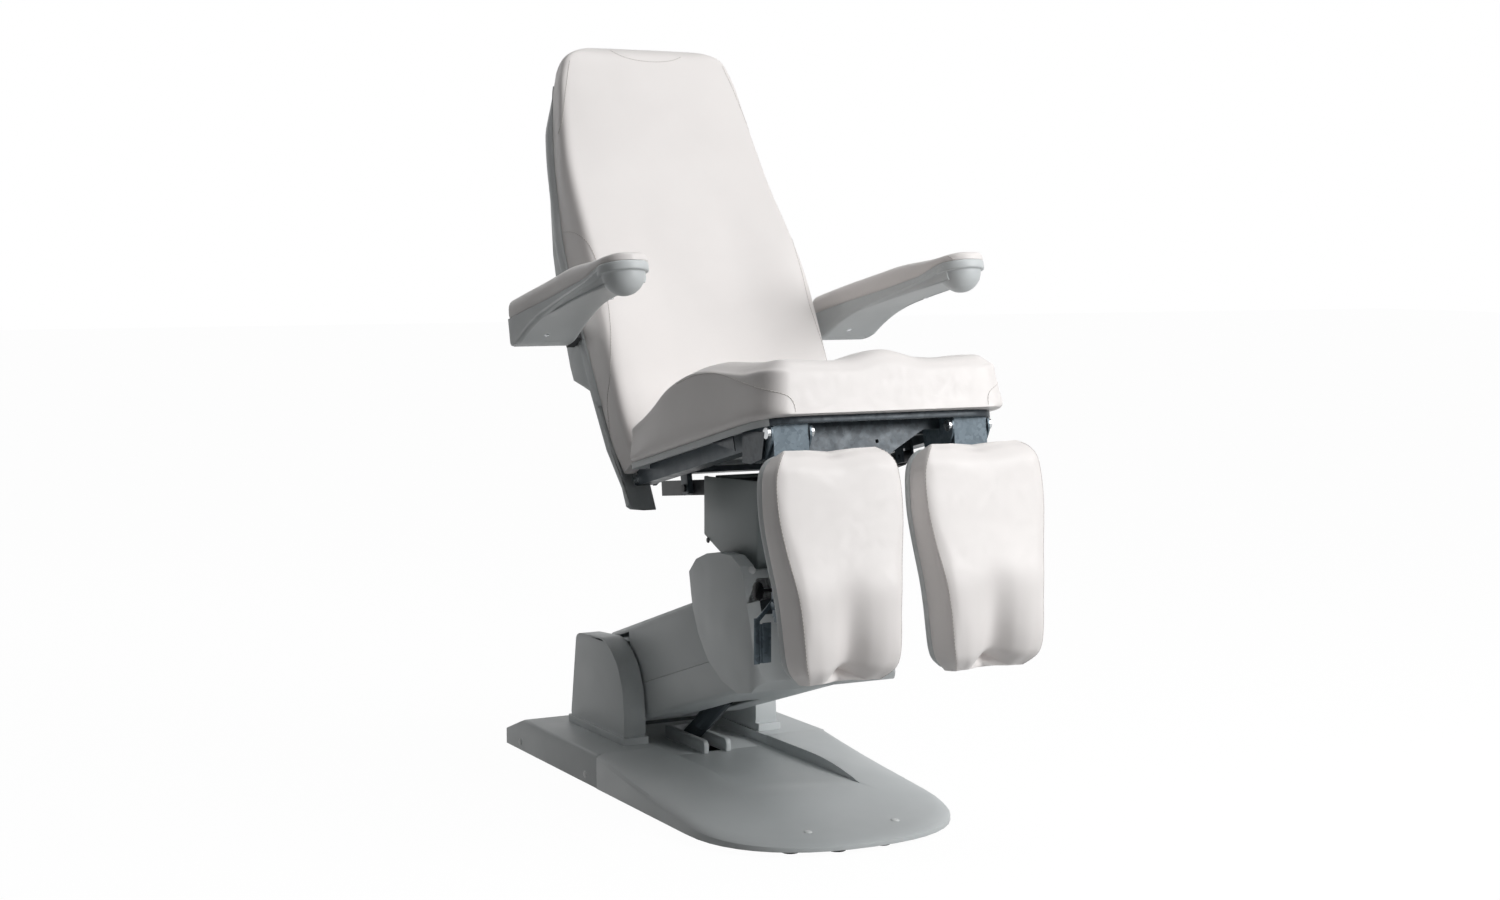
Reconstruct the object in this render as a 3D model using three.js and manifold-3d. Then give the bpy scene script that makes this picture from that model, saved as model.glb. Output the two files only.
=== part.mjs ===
// Podiatry chair: a lifting arm on a floor base carries a tilting seat with a
// reclining back, two swing-up armrests and two separate leg rests.
// Millimetres. +X is the sitter's left, -Y the front of the chair, +Z up.
import * as THREE from 'three';
import { mergeVertices } from 'three/addons/utils/BufferGeometryUtils.js';
import loadManifold from 'manifold-3d';

const wasm = await loadManifold();
wasm.setup();

// Driving dimensions of the whole chair
const seatGap = 0.3; // between pieces that touch
const runGap = 1.5; // between pieces that move past each other
const overrun = 5; // how far a cutting tool passes the face it opens
const weldTolerance = 0.001;
const roundSides = 16;
const smallSides = 12;

// Base: the moulded floor covers meet at a seam, which is y = 0 here
const baseHalfWidth = 280;
const baseRearLength = 514;
const baseFrontLength = 682;
const baseFrontStraight = 430;
const baseTop = 85;
const baseRearEdge = 47;
const baseRearTopLength = 407;
const baseSkirtClearance = 11;
const baseRim = 27;
const baseDeck = 87;
const coverWall = 4;
const tongueSteps = 22;
const tongueHollowSteps = 14;
const baseEdgeRound = 8;
const channelHalfWidth = 131;
const channelFloor = 64;
const channelLength = 441;
const channelDeepLength = 322;
const footHeight = 11;
const footRadius = 17;
const footSink = 5;

// Welded frame inside the base
const frameRailX = 190;
const frameRailWidth = 50;
const frameRailHeight = 22;
const frameFrontReach = 420;
const framePlateReach = 636;
const framePlateHalf = 172;
const framePlateThickness = 6;
const frameRearReach = 470;
const rearPostY = [60, 370];
const frontPostY = [-90, -300];
const postSize = 12;
const frameCrossDepth = 50;
const turretPlateX = 152;
const turretPlateThickness = 8;
const turretPlateFront = 150;
const turretPlateRear = 290;
const turretPlateTop = 288;

// Turret cover
const turretOuterX = 188;
const turretInnerX = 136;
const turretFront = 31;
const turretRear = 347;
const turretRearWallFront = 322;
const turretFoot = 96;
const turretTop = 306;
const turretSkirtOut = 7;
const turretSkirtHeight = 10.7;
const turretInnerRound = 14;

// Lifting arm
const armPivotY = 215;
const armPivotZ = 215;
const armReach = 560;
const armRise = 17;
const armHalfWidth = 130;
const armTopHeight = 94;
const armSeamHeight = -41;
const armBottomHeight = -120;
const armWall = 4;
const armRearReach = 26;
const armTopSetback = 62;
const armTopReach = armReach - armTopSetback;
const armWindowReach = 82;
const armWindowTop = 78;
const beamHalfWidth = 45;
const beamHalfHeight = 30;
const beamWall = 5;
const beamBossRadius = 30;
const outriggerY = [-170, -430];
const outriggerHalf = 9;
const beamBossHalfLength = 104;
const armShaftRadius = 15;
const armShaftHalfLength = 168;
const headShaftHalfLength = 122;
const linkRise = 58;
const linkHalfWidth = 12;
const linkHalfHeight = 9;
const linkEyeRadius = 18;
const linkPinRadius = 9;

// Lift actuator
const liftFootY = 140;
const liftFootZ = 58;
const liftEyeForward = 373;
const liftEyeBelow = -62;
const liftTubeRadius = 21;
const liftNeckHalfWidth = 13;
const liftNeckHalfHeight = 20;
const liftNeckLength = 112;
const liftTubeEnd = 245;
const liftRodRadius = 12;
const liftEyeRadius = 17;
const liftPinRadius = 8;
const liftPinClearance = 7;
const bezelHalfWidth = 33;
const bezelRail = 12;
const bezelFront = 20;
const bezelRear = 178;
const bezelTop = 92;

// Head on the end of the arm: the places of the head, the seat and all on it are
// measured with the head's pivot here, and move with the arm's end
const headY = -320.53;
const headZ = 378.73;
const headCheekOuter = 165;
const headCheekInner = 134;
const headFrontWallRear = 474;
const headLedgeRear = 431;
const headLedgeBottom = 510;
const headLedgeTop = 527;
const headPlateX = 108;
const headPlateThickness = 8;
const headPlateHalfDepth = 44;
const postHalfWidth = 40;
const postFront = 345;
const postRear = 285;
const postTop = 668;
const postWall = 5;
const headDeckZ = 472;
const headDeckThickness = 10;
const skirtHalfWidth = 120;
const skirtRear = 190;
const skirtFront = 427;
const skirtWall = 3;
const skirtTopRear = 690;
const skirtTopFront = 700;

// Seat: pivots on the tilt bars behind the post
const tiltPivotY = -113;
const tiltPivotZ = 658;
const tiltBarX = 100;
const tiltBarHalfWidth = 8;
const tiltBarHalfHeight = 16;
const tiltBarRearReach = 146;
const tiltBarSlope = 6;
const tiltPinRadius = 8;
const tiltLugInner = 112;
const tiltLugOuter = 124;
const seatTilt = 12.8;
const backHingeY = -79;
const backHingeZ = 680;
const railX = 200;
const railHalfWidth = 18;
const railBottom = -15;
const railTop = 20;
const railRear = -16;
const railFront = 596;
const seatHalfWidth = 270;
const boardHalfWidth = 262;
const boardThickness = 3.5;
const boardRim = 13;
const boardRear = 66;
const boardOverhang = 68;
const boardFront = railFront + boardOverhang;
const boardCorner = 80;
const cushionOverhang = 88;
const seatCushionFront = railFront + cushionOverhang;
const seatCushionRear = 76;

// Leg rests
const legHingeLead = 36.7;
const legHingeForward = railFront + legHingeLead;
const legHingeUp = -1;
const legCentreX = 197;
const legPadCentreX = 160;
const legTilt = 6;
const legChannelHalfWidth = 37;
const legChannelFront = 8;
const legChannelRear = -24;
const legChannelWall = 3;
const legChannelTop = 16;
const legChannelLength = 350;
const legEarThickness = 4;
const legPadTop = -34;
const legPadLength = 424;
const legShellBack = 11;
const legShellDepth = 15;
const legShellEndShare = 0.6;
const legShellFlatShare = 0.95;

// Back
const backRecline = 29.4;
const backLength = 1045;
const backEdgeStart = 0.82;
const backEdgeKeep = 0.3;
const backEndLead = 0.008;
const backEndSharpness = 24;
const backWingShare = 0.62;
const wingStart = 0.3;
const wingRun = 0.5;
const backHalfWidth = 272;
const backCushionDepth = 72;
const backShellWall = 3.5;

// Armrests, laid parallel to the seat
const armrestPivotForward = -95;
const armrestPivotUp = 324;
const armrestLength = 545;
const armrestPadTop = 73;

// Smaller sizes of the stand
const bezelInner = bezelHalfWidth - bezelRail;
const channelWallX = channelHalfWidth + coverWall;
const frameMiddleY = 20;
const liftEarThickness = 4;
const liftFloorThickness = 8;
const turretPlateTopX = turretPlateX + turretPlateThickness + overrun;
const turretFootSetback = 14;
const turretTaper = 3;
const footStudRadius = 7;
const frontFootX = [-142, -55, 45, 142];
const frontFootY = [-604, -634, -634, -604];
const rearFootX = 215;
const rearFootY = 440;

// Smaller sizes of the arm and head
const armWindowBottom = -46;
const armStrutHalfWidth = 32;
const armStrutNear = 70;
const armStrutFar = 352;
const headShellWall = 4;
const headWebThickness = 6;
const headPlateBottom = 36;

// Tilt and back actuators
const tiltActuatorY = -391;
const tiltFootZ = 452;
const tiltTopZ = 727;
const actuatorTubeRadius = 16;
const actuatorRodRadius = 8;
const actuatorEyeRadius = 12;
const actuatorPinRadius = 5;
const actuatorEyeHalfWidth = 9;
const actuatorLugThickness = 5;
const tiltTubeLength = 165;
const tiltEyeClearance = 4;
const backCrankX = 148;
const backCrankDrop = 60;
const backCrankForward = -25;
const backAnchorForward = 470;
const backAnchorUp = -38;
const backTubeLength = 250;
const backEyeClearance = 9;

// Smaller sizes of the lift, head and seat
const turretPivotSplit = 190;
const bezelSlotFront = -14;
const bezelSlotRear = 170;
const armBottomStart = 100;
const armRearStep = 20;
const armEdgeRound = 22;
const neckShare = 0.7;
const liftTubeBoreStart = 118;
const liftRodClearance = 66;
const headTop = 552;
const headBottom = 280;
const headFront = 508;
const headRear = 213;
const headNoseRound = 34;
const headVentTop = 430;
const deckLift = 46;
const skirtHemRear = 571;
const skirtHemStep = 76;
const skirtHemMiddle = 541;
const skirtHemFront = 524;
const tiltBarSlotBottom = 640;
const actuatorStroke = 68;
const lugHalfWidth = 15;
const lugRound = 8;
const hingeRadius = 7;
const crossRearForward = 35;
const crossFrontForward = 505;
const earTopDrop = 11;
const backEarWaist = 3;
const backEarBend = 24;
const backEarRound = 8;
const crossHalfDepth = 12;
const crossHeight = 20;
const railNoseRise = 10;
const railNoseLength = 40;
const rearCorner = 12;
const boardWall = 3;
const seatFrontRound = 72;
const seatRearRound = 18;
const seatCornerShare = 0.85;
const seatBolsterHeight = 142;
const seatEdgeStart = 0.9;
const seatCushionSteps = 18;
const seatEdgeKeep = 0.35;
const seatTuckRise = 0.04;
const cushionTuckDepth = 0.1;
const cushionGap = 4;
const plateThickness = 3;
const plateDrop = 74;
const plateStep = 22;
const plateCutInner = 20;
const plateCutShare = 0.75;
const plateHoleInset = 8;
const plateHoleX = 10;
const plateHoleRadius = 4;
const earNose = 12;
const earDrop = 46;
const earOverlap = 60;
const earRear = railFront - earOverlap;

// Smaller sizes of the leg rests
const boltHead = 6;
const boltHeadRadius = 11;
const sliderWall = 3;
const sliderFront = 2.5;
const sliderTop = 180;
const sliderBottom = 340;
const clampRadius = 5;
const clampForward = -11;
const clampDrop = 289;
const clampStem = 12;
const knobRadius = 22;
const knobLength = 26;
const knobFlutes = 6;
const fluteRadius = 5;
const shellWall = 3;
const padHalfWidth = 128;
const padDepth = 92;
const grooveDepth = 34;
const topDip = 12;
const bottomNotch = 22;
const padEdgeStart = 0.86;
const padEdgeKeep = 0.8;
const grooveHalfShare = 0.42;
const grooveStartShare = 0.35;
const grooveRunShare = 0.5;
const dipHalfShare = 0.6;
const dipSharpness = 8;
const cushionSteps = 14;
const leverEye = 9;
const leverSheet = 3;
const leverReach = 26;
const leverDrop = 34;
const leverPin = 4;
const leverForward = -6;
const leverPivotDrop = 318;
const paddleLength = 84;
const paddleWidth = 20;

// Smaller sizes of the back and armrests
const shellLip = 57;
const shellTopMargin = 8;
const shellDepth = 104;
const shellFlankShare = 0.6;
const shellFlankX = 0.94;
const shellFlatX = 0.8;
const shellCrown = 1.05;
const shellFaceGap = 0.3;
const shellGapHalf = 171;
const shellGapTop = 134;
const backTubeX = 164;
const backTubeHalf = 10;
const backTubeFront = 12;
const backTubeRear = 34;
const backTubeFoot = 26;
const backTubeTop = 760;
const backCrossAt = [140, 330, 740];
const crankTop = 52;
const crankTieTop = 44;
const backEarX = 176;
const backEarThickness = 6;
const backEarHalf = 15;
const backEarTop = 70;
const backCushionFoot = 10;
const backCushionInset = 2;
const backWing = 14;
const bracketDepth = 22;
const bracketHalf = 9;
const bracketOuter = 296;
const bracketFace = 3;
const bracketPlate = 18;
const armrestRearX = 366;
const armrestFrontX = 385;
const armrestRearHalf = 66;
const armrestFrontHalf = 49;
const armrestTail = 14;
const armrestSides = 16;
const armrestBottom = -22;
const armrestWaist = 31;
const armrestSplit = 37;
const armrestRimRadius = 50;
const armrestRimBottom = 27;
const armrestRimTop = 45;
const armrestBallRadius = 42;
const armrestRound = 0.4;
const armrestEase = 4;
const armrestInset = 1;
const armrestLap = 2;
const armrestBodyShare = 0.92;
const armrestPinRadius = 8;
const armrestPinOuter = 350;

const degrees = Math.PI / 180;

// Kernel: closed geometry in, closed geometry out
function solidOf(geometry) {
  const bare = geometry.clone();
  for (const name of Object.keys(bare.attributes)) {
    if (name !== 'position') bare.deleteAttribute(name);
  }
  const merged = mergeVertices(bare, weldTolerance);
  const vertProperties = Float32Array.from(merged.attributes.position.array);
  const triVerts = Uint32Array.from(merged.index.array);
  return new wasm.Manifold(new wasm.Mesh({ numProp: 3, vertProperties, triVerts }));
}

function geometryOf(solid) {
  const mesh = solid.getMesh();
  const geometry = new THREE.BufferGeometry();
  const positions = Float32Array.from(mesh.vertProperties);
  geometry.setAttribute('position', new THREE.BufferAttribute(positions, 3));
  geometry.setIndex(new THREE.BufferAttribute(Uint32Array.from(mesh.triVerts), 1));
  return geometry;
}

function join(first, ...others) {
  return geometryOf(others.reduce((sum, part) => sum.add(solidOf(part)), solidOf(first)));
}

function cut(body, ...tools) {
  return geometryOf(tools.reduce((rest, tool) => rest.subtract(solidOf(tool)), solidOf(body)));
}

function common(first, ...others) {
  return geometryOf(others.reduce((sum, part) => sum.intersect(solidOf(part)), solidOf(first)));
}

// Outlines
function shapeOf(points) {
  return new THREE.Shape(points.map(([a, b]) => new THREE.Vector2(a, b)));
}

function extruded(points, depth) {
  return new THREE.ExtrudeGeometry(shapeOf(points), { depth, bevelEnabled: false });
}

// Outline in (y, z), swept from x0 to x1
function alongX(points, x0, x1) {
  const turn = new THREE.Matrix4().set(0, 0, 1, x0, 1, 0, 0, 0, 0, 1, 0, 0, 0, 0, 0, 1);
  return extruded(points, x1 - x0).applyMatrix4(turn);
}

// Outline in (x, z), swept from y0 to y1
function alongY(points, y0, y1) {
  const turn = new THREE.Matrix4().set(1, 0, 0, 0, 0, 0, -1, y1, 0, 1, 0, 0, 0, 0, 0, 1);
  return extruded(points, y1 - y0).applyMatrix4(turn);
}

// Outline in (x, y), swept from z0 to z1
function alongZ(points, z0, z1) {
  return extruded(points, z1 - z0).translate(0, 0, z0);
}

// Box between two corners
function block(x0, x1, y0, y1, z0, z1) {
  const box = new THREE.BoxGeometry(x1 - x0, y1 - y0, z1 - z0);
  return box.translate((x0 + x1) / 2, (y0 + y1) / 2, (z0 + z1) / 2);
}

// Round bar along X, centred on (y, z)
function rodX(radius, x0, x1, y, z, sides = roundSides) {
  const rod = new THREE.CylinderGeometry(radius, radius, x1 - x0, sides);
  return rod.rotateZ(Math.PI / 2).translate((x0 + x1) / 2, y, z);
}

// Round bar along Z, centred on (x, y)
function rodZ(radius, x, y, z0, z1, sides = roundSides) {
  const rod = new THREE.CylinderGeometry(radius, radius, z1 - z0, sides);
  return rod.rotateX(Math.PI / 2).translate(x, y, (z0 + z1) / 2);
}

// Round bar along Y, centred on (x, z)
function rodY(radius, x, z, y0, y1, sides = roundSides) {
  const rod = new THREE.CylinderGeometry(radius, radius, y1 - y0, sides);
  return rod.translate(x, (y0 + y1) / 2, z);
}

// Corners of an outline rounded off, each by its own radius or the common one
function rounded(corners, radius, steps = 4) {
  const points = [];
  corners.forEach((corner, index) => {
    const before = corners[(index + corners.length - 1) % corners.length];
    const after = corners[(index + 1) % corners.length];
    const point = new THREE.Vector2(corner[0], corner[1]);
    const back = new THREE.Vector2(before[0], before[1]).sub(point);
    const ahead = new THREE.Vector2(after[0], after[1]).sub(point);
    const size = corner[2] ?? radius;
    const reach = Math.min(size, back.length() / 2, ahead.length() / 2);
    if (reach <= 0) {
      points.push([point.x, point.y]);
      return;
    }
    const start = point.clone().addScaledVector(back.normalize(), reach);
    const end = point.clone().addScaledVector(ahead.normalize(), reach);
    const bend = new THREE.QuadraticBezierCurve(start, point, end);
    for (const at of bend.getPoints(steps)) points.push([at.x, at.y]);
  });
  return points;
}

// Points of an outline given as shares of a width and a height
function shared(shares, width, height, left = 0, bottom = 0) {
  return shares.map(([a, b]) => [left + a * width, bottom + b * height]);
}

// A value that follows a list of [place, value] smoothly
function following(pairs) {
  return (place) => {
    const last = pairs.length - 1;
    if (place <= pairs[0][0]) return pairs[0][1];
    if (place >= pairs[last][0]) return pairs[last][1];
    const i = pairs.findIndex((pair, index) => index < last && place < pairs[index + 1][0]);
    const slope = (a, b) => (pairs[b][1] - pairs[a][1]) / (pairs[b][0] - pairs[a][0]);
    const span = pairs[i + 1][0] - pairs[i][0];
    const t = (place - pairs[i][0]) / span;
    const here = slope(i, i + 1);
    const into = i > 0 ? (slope(i - 1, i) + here) / 2 : here;
    const out = i + 1 < last ? (here + slope(i + 1, i + 2)) / 2 : here;
    const a = 2 * t ** 3 - 3 * t ** 2 + 1;
    const b = t ** 3 - 2 * t ** 2 + t;
    const c = -2 * t ** 3 + 3 * t ** 2;
    const d = t ** 3 - t ** 2;
    return a * pairs[i][1] + b * span * into + c * pairs[i + 1][1] + d * span * out;
  };
}

// Closed skin through rings of equal length, with fan caps, faces outwards
function skin(rings) {
  const positions = [];
  const index = [];
  const count = rings[0].length;
  for (const ring of rings) for (const point of ring) positions.push(...point);
  for (let i = 0; i + 1 < rings.length; i += 1) {
    for (let j = 0; j < count; j += 1) {
      const a = i * count + j;
      const b = i * count + ((j + 1) % count);
      index.push(a, b, b + count, a, b + count, a + count);
    }
  }
  for (const [ring, flip] of [[0, true], [rings.length - 1, false]]) {
    const centre = [0, 1, 2].map((k) => rings[ring].reduce((sum, p) => sum + p[k], 0) / count);
    positions.push(...centre);
    const hub = positions.length / 3 - 1;
    for (let j = 0; j < count; j += 1) {
      const a = ring * count + j;
      const b = ring * count + ((j + 1) % count);
      if (flip) index.push(hub, b, a);
      else index.push(hub, a, b);
    }
  }
  return facingOut(positions, index);
}

function facingOut(positions, index) {
  let volume = 0;
  const at = (i) => new THREE.Vector3(positions[3 * i], positions[3 * i + 1], positions[3 * i + 2]);
  for (let i = 0; i < index.length; i += 3) {
    volume += at(index[i]).dot(at(index[i + 1]).cross(at(index[i + 2])));
  }
  const turned = [];
  for (let i = 0; i < index.length; i += 3) {
    if (volume < 0) turned.push(index[i], index[i + 2], index[i + 1]);
    else turned.push(index[i], index[i + 1], index[i + 2]);
  }
  const geometry = new THREE.BufferGeometry();
  geometry.setAttribute('position', new THREE.Float32BufferAttribute(positions, 3));
  geometry.setIndex(turned);
  return geometry;
}

// Groups, from the floor up
const finish = {
  upholstery: { color: 0xeee9e6, roughness: 0.5, metalness: 0 },
  plastic: { color: 0xa9b3b6, roughness: 0.42, metalness: 0 },
  darkPlastic: { color: 0x4c5453, roughness: 0.5, metalness: 0 },
  frameSteel: { color: 0x4a565e, roughness: 0.45, metalness: 0.3 },
  brightSteel: { color: 0xb9c0c4, roughness: 0.3, metalness: 1 },
  blackPlastic: { color: 0x151719, roughness: 0.5, metalness: 0 },
  rubber: { color: 0x1c1f20, roughness: 0.8, metalness: 0 },
};
const materials = {};
for (const [name, look] of Object.entries(finish)) {
  materials[name] = new THREE.MeshStandardMaterial(look);
}

function add(group, name, geometry, material) {
  const mesh = new THREE.Mesh(geometry, materials[material]);
  mesh.name = name;
  group.add(mesh);
  return mesh;
}

// A group whose own axes are turned so that its front rises by an angle
function turnedGroup(parent, y, z, rise) {
  const group = new THREE.Group();
  group.position.set(0, y, z);
  group.rotation.x = -rise * degrees;
  parent.add(group);
  return group;
}

const chair = new THREE.Group();
const floorStand = new THREE.Group();
chair.add(floorStand);
const arm = turnedGroup(floorStand, armPivotY, armPivotZ, armRise);
const carried = new THREE.Group();
carried.position.set(
  0,
  armPivotY - armReach * Math.cos(armRise * degrees) - headY,
  armPivotZ + armReach * Math.sin(armRise * degrees) - headZ,
);
floorStand.add(carried);
const seat = turnedGroup(carried, backHingeY, backHingeZ, seatTilt);
const back = turnedGroup(seat, 0, 0, backRecline - seatTilt);

// Both hands of a mirrored piece: the function gets the side, +1 or -1
const hands = [['left', 1], ['right', -1]];
function acrossX(geometry, side) {
  if (side > 0) return geometry;
  const mirrored = geometry.clone().scale(-1, 1, 1);
  const positions = Array.from(mirrored.attributes.position.array);
  const order = Array.from({ length: positions.length / 3 }, (_, i) => i);
  const index = mirrored.index ? Array.from(mirrored.index.array) : order;
  return facingOut(positions, index);
}

// Base covers: plan of the front tongue, half an oval past its straight sides
const tongueSquareness = 0.87;
const straightSteps = 5;
function tonguePlan(inset, steps) {
  const half = baseHalfWidth - inset;
  const bow = baseFrontLength - baseFrontStraight - inset;
  const plan = [[half, 0]];
  for (let i = 1; i < straightSteps; i += 1) plan.push([half, (-baseFrontStraight * i) / straightSteps]);
  for (let i = 0; i <= steps; i += 1) {
    const angle = (Math.PI * i) / steps;
    const x = half * Math.sign(Math.cos(angle)) * Math.abs(Math.cos(angle)) ** tongueSquareness;
    plan.push([x, -baseFrontStraight - bow * Math.abs(Math.sin(angle)) ** tongueSquareness]);
  }
  for (let i = straightSteps - 1; i > 0; i -= 1) plan.push([-half, (-baseFrontStraight * i) / straightSteps]);
  plan.push([-half, 0]);
  return plan;
}

// Heights of the tongue along its length, as shares of the length and of the drop
const rimShares = [[0, 1], [0.1, 0.84], [0.32, 0.53], [0.44, 0.4], [0.6, 0.24], [0.75, 0.1], [1, 0]];
const deckShares = [[0, 1], [0.47, 0.98], [0.56, 0.82], [0.65, 0.56], [0.76, 0.36], [0.88, 0.17], [1, 0]];
const rimAt = following(rimShares);
const deckAt = following(deckShares);
const ringShares = [1, 0.985, 0.94, 0.86, 0.75, 0.62, 0.48, 0.33, 0.17];
const edgeDropShares = [1, 0.35, 0, 0, 0, 0, 0, 0, 0];

function tongueTop(x, y, nearRim) {
  const along = -y / baseFrontLength;
  const rim = baseRim + (baseTop - baseRim) * rimAt(along);
  const deck = baseRim + (baseDeck - baseRim) * deckAt(along);
  return rim + (deck - rim) * (1 - nearRim ** 3);
}

// Solid under the tongue's surface, its sides pulled in by a wall
function tongueBody(inset, bottom, steps) {
  const plan = tonguePlan(inset, steps);
  const positions = [];
  const index = [];
  const count = plan.length;
  for (const [k, ring] of ringShares.entries()) {
    for (const [x, y] of plan) {
      const z = tongueTop(x * ring, y * ring, ring) - baseEdgeRound * edgeDropShares[k] - inset;
      positions.push(x * ring, y * ring, z);
    }
  }
  positions.push(0, 0, tongueTop(0, 0, 0) - inset);
  const crown = ringShares.length * count;
  for (const [x, y] of plan) positions.push(x, y, bottom);
  positions.push(0, 0, bottom);
  const floor = crown + 1;
  const floorHub = floor + count;
  for (let j = 0; j + 1 < count; j += 1) {
    for (let k = 0; k + 1 < ringShares.length; k += 1) {
      const a = k * count + j;
      index.push(a, a + 1, a + 1 + count, a, a + 1 + count, a + count);
    }
    const inner = (ringShares.length - 1) * count + j;
    index.push(inner, inner + 1, crown);
    index.push(floor + j, floor + j + 1, j + 1, floor + j, j + 1, j);
    index.push(floorHub, floor + j + 1, floor + j);
  }
  const last = count - 1;
  for (let k = 0; k + 1 < ringShares.length; k += 1) {
    index.push(floorHub, k * count, (k + 1) * count);
    index.push(floorHub, (k + 1) * count + last, k * count + last);
  }
  const innermost = (ringShares.length - 1) * count;
  index.push(floorHub, innermost, crown, floorHub, crown, innermost + last);
  index.push(floorHub, floor, 0, floorHub, last, floor + last);
  return facingOut(positions, index);
}

// The channel that the lowered arm sinks into, ramping out at its front
const channelRampDrop = 2;
function channelCutter(inset, depth) {
  const half = channelHalfWidth + inset;
  const floor = channelFloor - depth;
  const profile = [
    [baseRearLength, floor],
    [-channelDeepLength, floor],
    [-channelLength, floor - channelRampDrop],
    [-baseFrontLength, floor],
    [-baseFrontLength, turretTop],
    [baseRearLength, turretTop],
  ];
  return alongX(profile, -half, half);
}

function makeFrontCover() {
  const outer = tongueBody(0, baseSkirtClearance, tongueSteps);
  const hollow = tongueBody(coverWall, baseSkirtClearance - overrun, tongueHollowSteps)
    .translate(0, overrun, 0);
  const inside = cut(hollow, channelCutter(coverWall, coverWall));
  return cut(outer, inside, channelCutter(0, 0));
}

// Rear cover: a flat box with a sloping tail, open below and at the seam
function rearCoverBody(inset, bottom, y0) {
  const rear = baseRearLength - inset;
  const half = baseHalfWidth - inset;
  const top = baseTop - inset;
  const side = [
    [y0, bottom], [rear, bottom], [rear, baseRearEdge - inset], [baseRearTopLength, top], [y0, top],
  ];
  const across = rounded(
    [[-half, bottom, 0], [half, bottom, 0], [half, top], [-half, top]], baseEdgeRound, 3,
  );
  return common(alongX(side, -half, half), alongY(across, y0, rear));
}

function makeRearCover() {
  const outer = rearCoverBody(0, baseSkirtClearance, seatGap);
  const inside = cut(
    rearCoverBody(coverWall, baseSkirtClearance - overrun, -overrun),
    block(-channelWallX, channelWallX, -baseRearLength, turretRearWallFront, channelFloor - coverWall,
      turretTop),
  );
  const plates = hands.map(([, side]) => block(
    side > 0 ? turretPlateX - runGap : -turretPlateX - turretPlateThickness - runGap,
    side > 0 ? turretPlateX + turretPlateThickness + runGap : -turretPlateX + runGap,
    turretPlateFront - runGap, turretPlateRear + runGap, channelFloor, turretTop,
  ));
  const channel = block(-channelHalfWidth, channelHalfWidth, -overrun, turretRearWallFront, channelFloor,
    turretTop);
  const slotHalf = bezelInner + liftEarThickness;
  const slot = block(-slotHalf, slotHalf, bezelSlotFront, bezelSlotRear, 0, turretTop);
  return cut(outer, inside, channel, slot, ...plates);
}

// Turret: two tall cheeks and a rear wall round the arm's pivot
const cheekShares = [[1, 0], [0.92, 0.9], [0.88, 0.94], [0.47, 0.98], [0.33, 0.9], [0.2, 0.74],
  [0.12, 0.51], [0.09, 0.24], [0.09, 0]];
const turretFlangeRound = 12;
const turretEdgeRound = 18;
function turretBody(inset, bottom) {
  const length = turretRear - turretFront;
  const height = turretTop - turretFoot;
  const side = shared(cheekShares, length, height, turretFront, turretFoot);
  const inner = side.map(([y, z]) => [
    y > turretPivotSplit ? y - inset : y + inset,
    z > turretFoot ? z - inset : bottom,
  ]);
  const half = turretOuterX - inset;
  return alongX(rounded(inner, turretInnerRound, 2), -half, half);
}

function makeTurretCover() {
  const outer = turretBody(0, turretFoot);
  const foot = rounded([
    [-turretOuterX - turretSkirtOut, turretFront + turretFootSetback],
    [turretOuterX + turretSkirtOut, turretFront + turretFootSetback],
    [turretOuterX + turretSkirtOut, turretRear + turretSkirtOut],
    [-turretOuterX - turretSkirtOut, turretRear + turretSkirtOut],
  ], turretFlangeRound, 2);
  const flange = alongZ(foot, turretFoot - turretSkirtHeight, turretFoot + overrun);
  const across = rounded([
    [-turretOuterX - turretSkirtOut, turretFoot - turretSkirtHeight - overrun, 0],
    [turretOuterX + turretSkirtOut, turretFoot - turretSkirtHeight - overrun, 0],
    [turretOuterX + turretSkirtOut, turretFoot + overrun, 0],
    [turretOuterX, turretFoot + 2 * overrun, 0],
    [turretOuterX - turretTaper, turretTop],
    [-turretOuterX + turretTaper, turretTop],
    [-turretOuterX, turretFoot + 2 * overrun, 0],
    [-turretOuterX - turretSkirtOut, turretFoot + overrun, 0],
  ], turretEdgeRound, 3);
  const body = common(join(outer, flange), alongY(across, 0, baseRearLength));
  const cavity = turretBody(coverWall, turretFoot - turretSkirtHeight - overrun);
  const well = block(-turretInnerX, turretInnerX, -overrun, turretRearWallFront, 0, turretTop + overrun);
  const wellWall = block(
    -turretInnerX - coverWall, turretInnerX + coverWall,
    -overrun, turretRearWallFront + coverWall, 0, turretTop + overrun,
  );
  const shaftHole = rodX(armShaftRadius + runGap, -turretPlateX, turretPlateX, armPivotY, armPivotZ);
  const pinHole = rodX(linkPinRadius + runGap, -turretPlateX, turretPlateX, armPivotY, armPivotZ + linkRise);
  return cut(body, cut(cavity, wellWall), well, shaftHole, pinHole);
}

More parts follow.
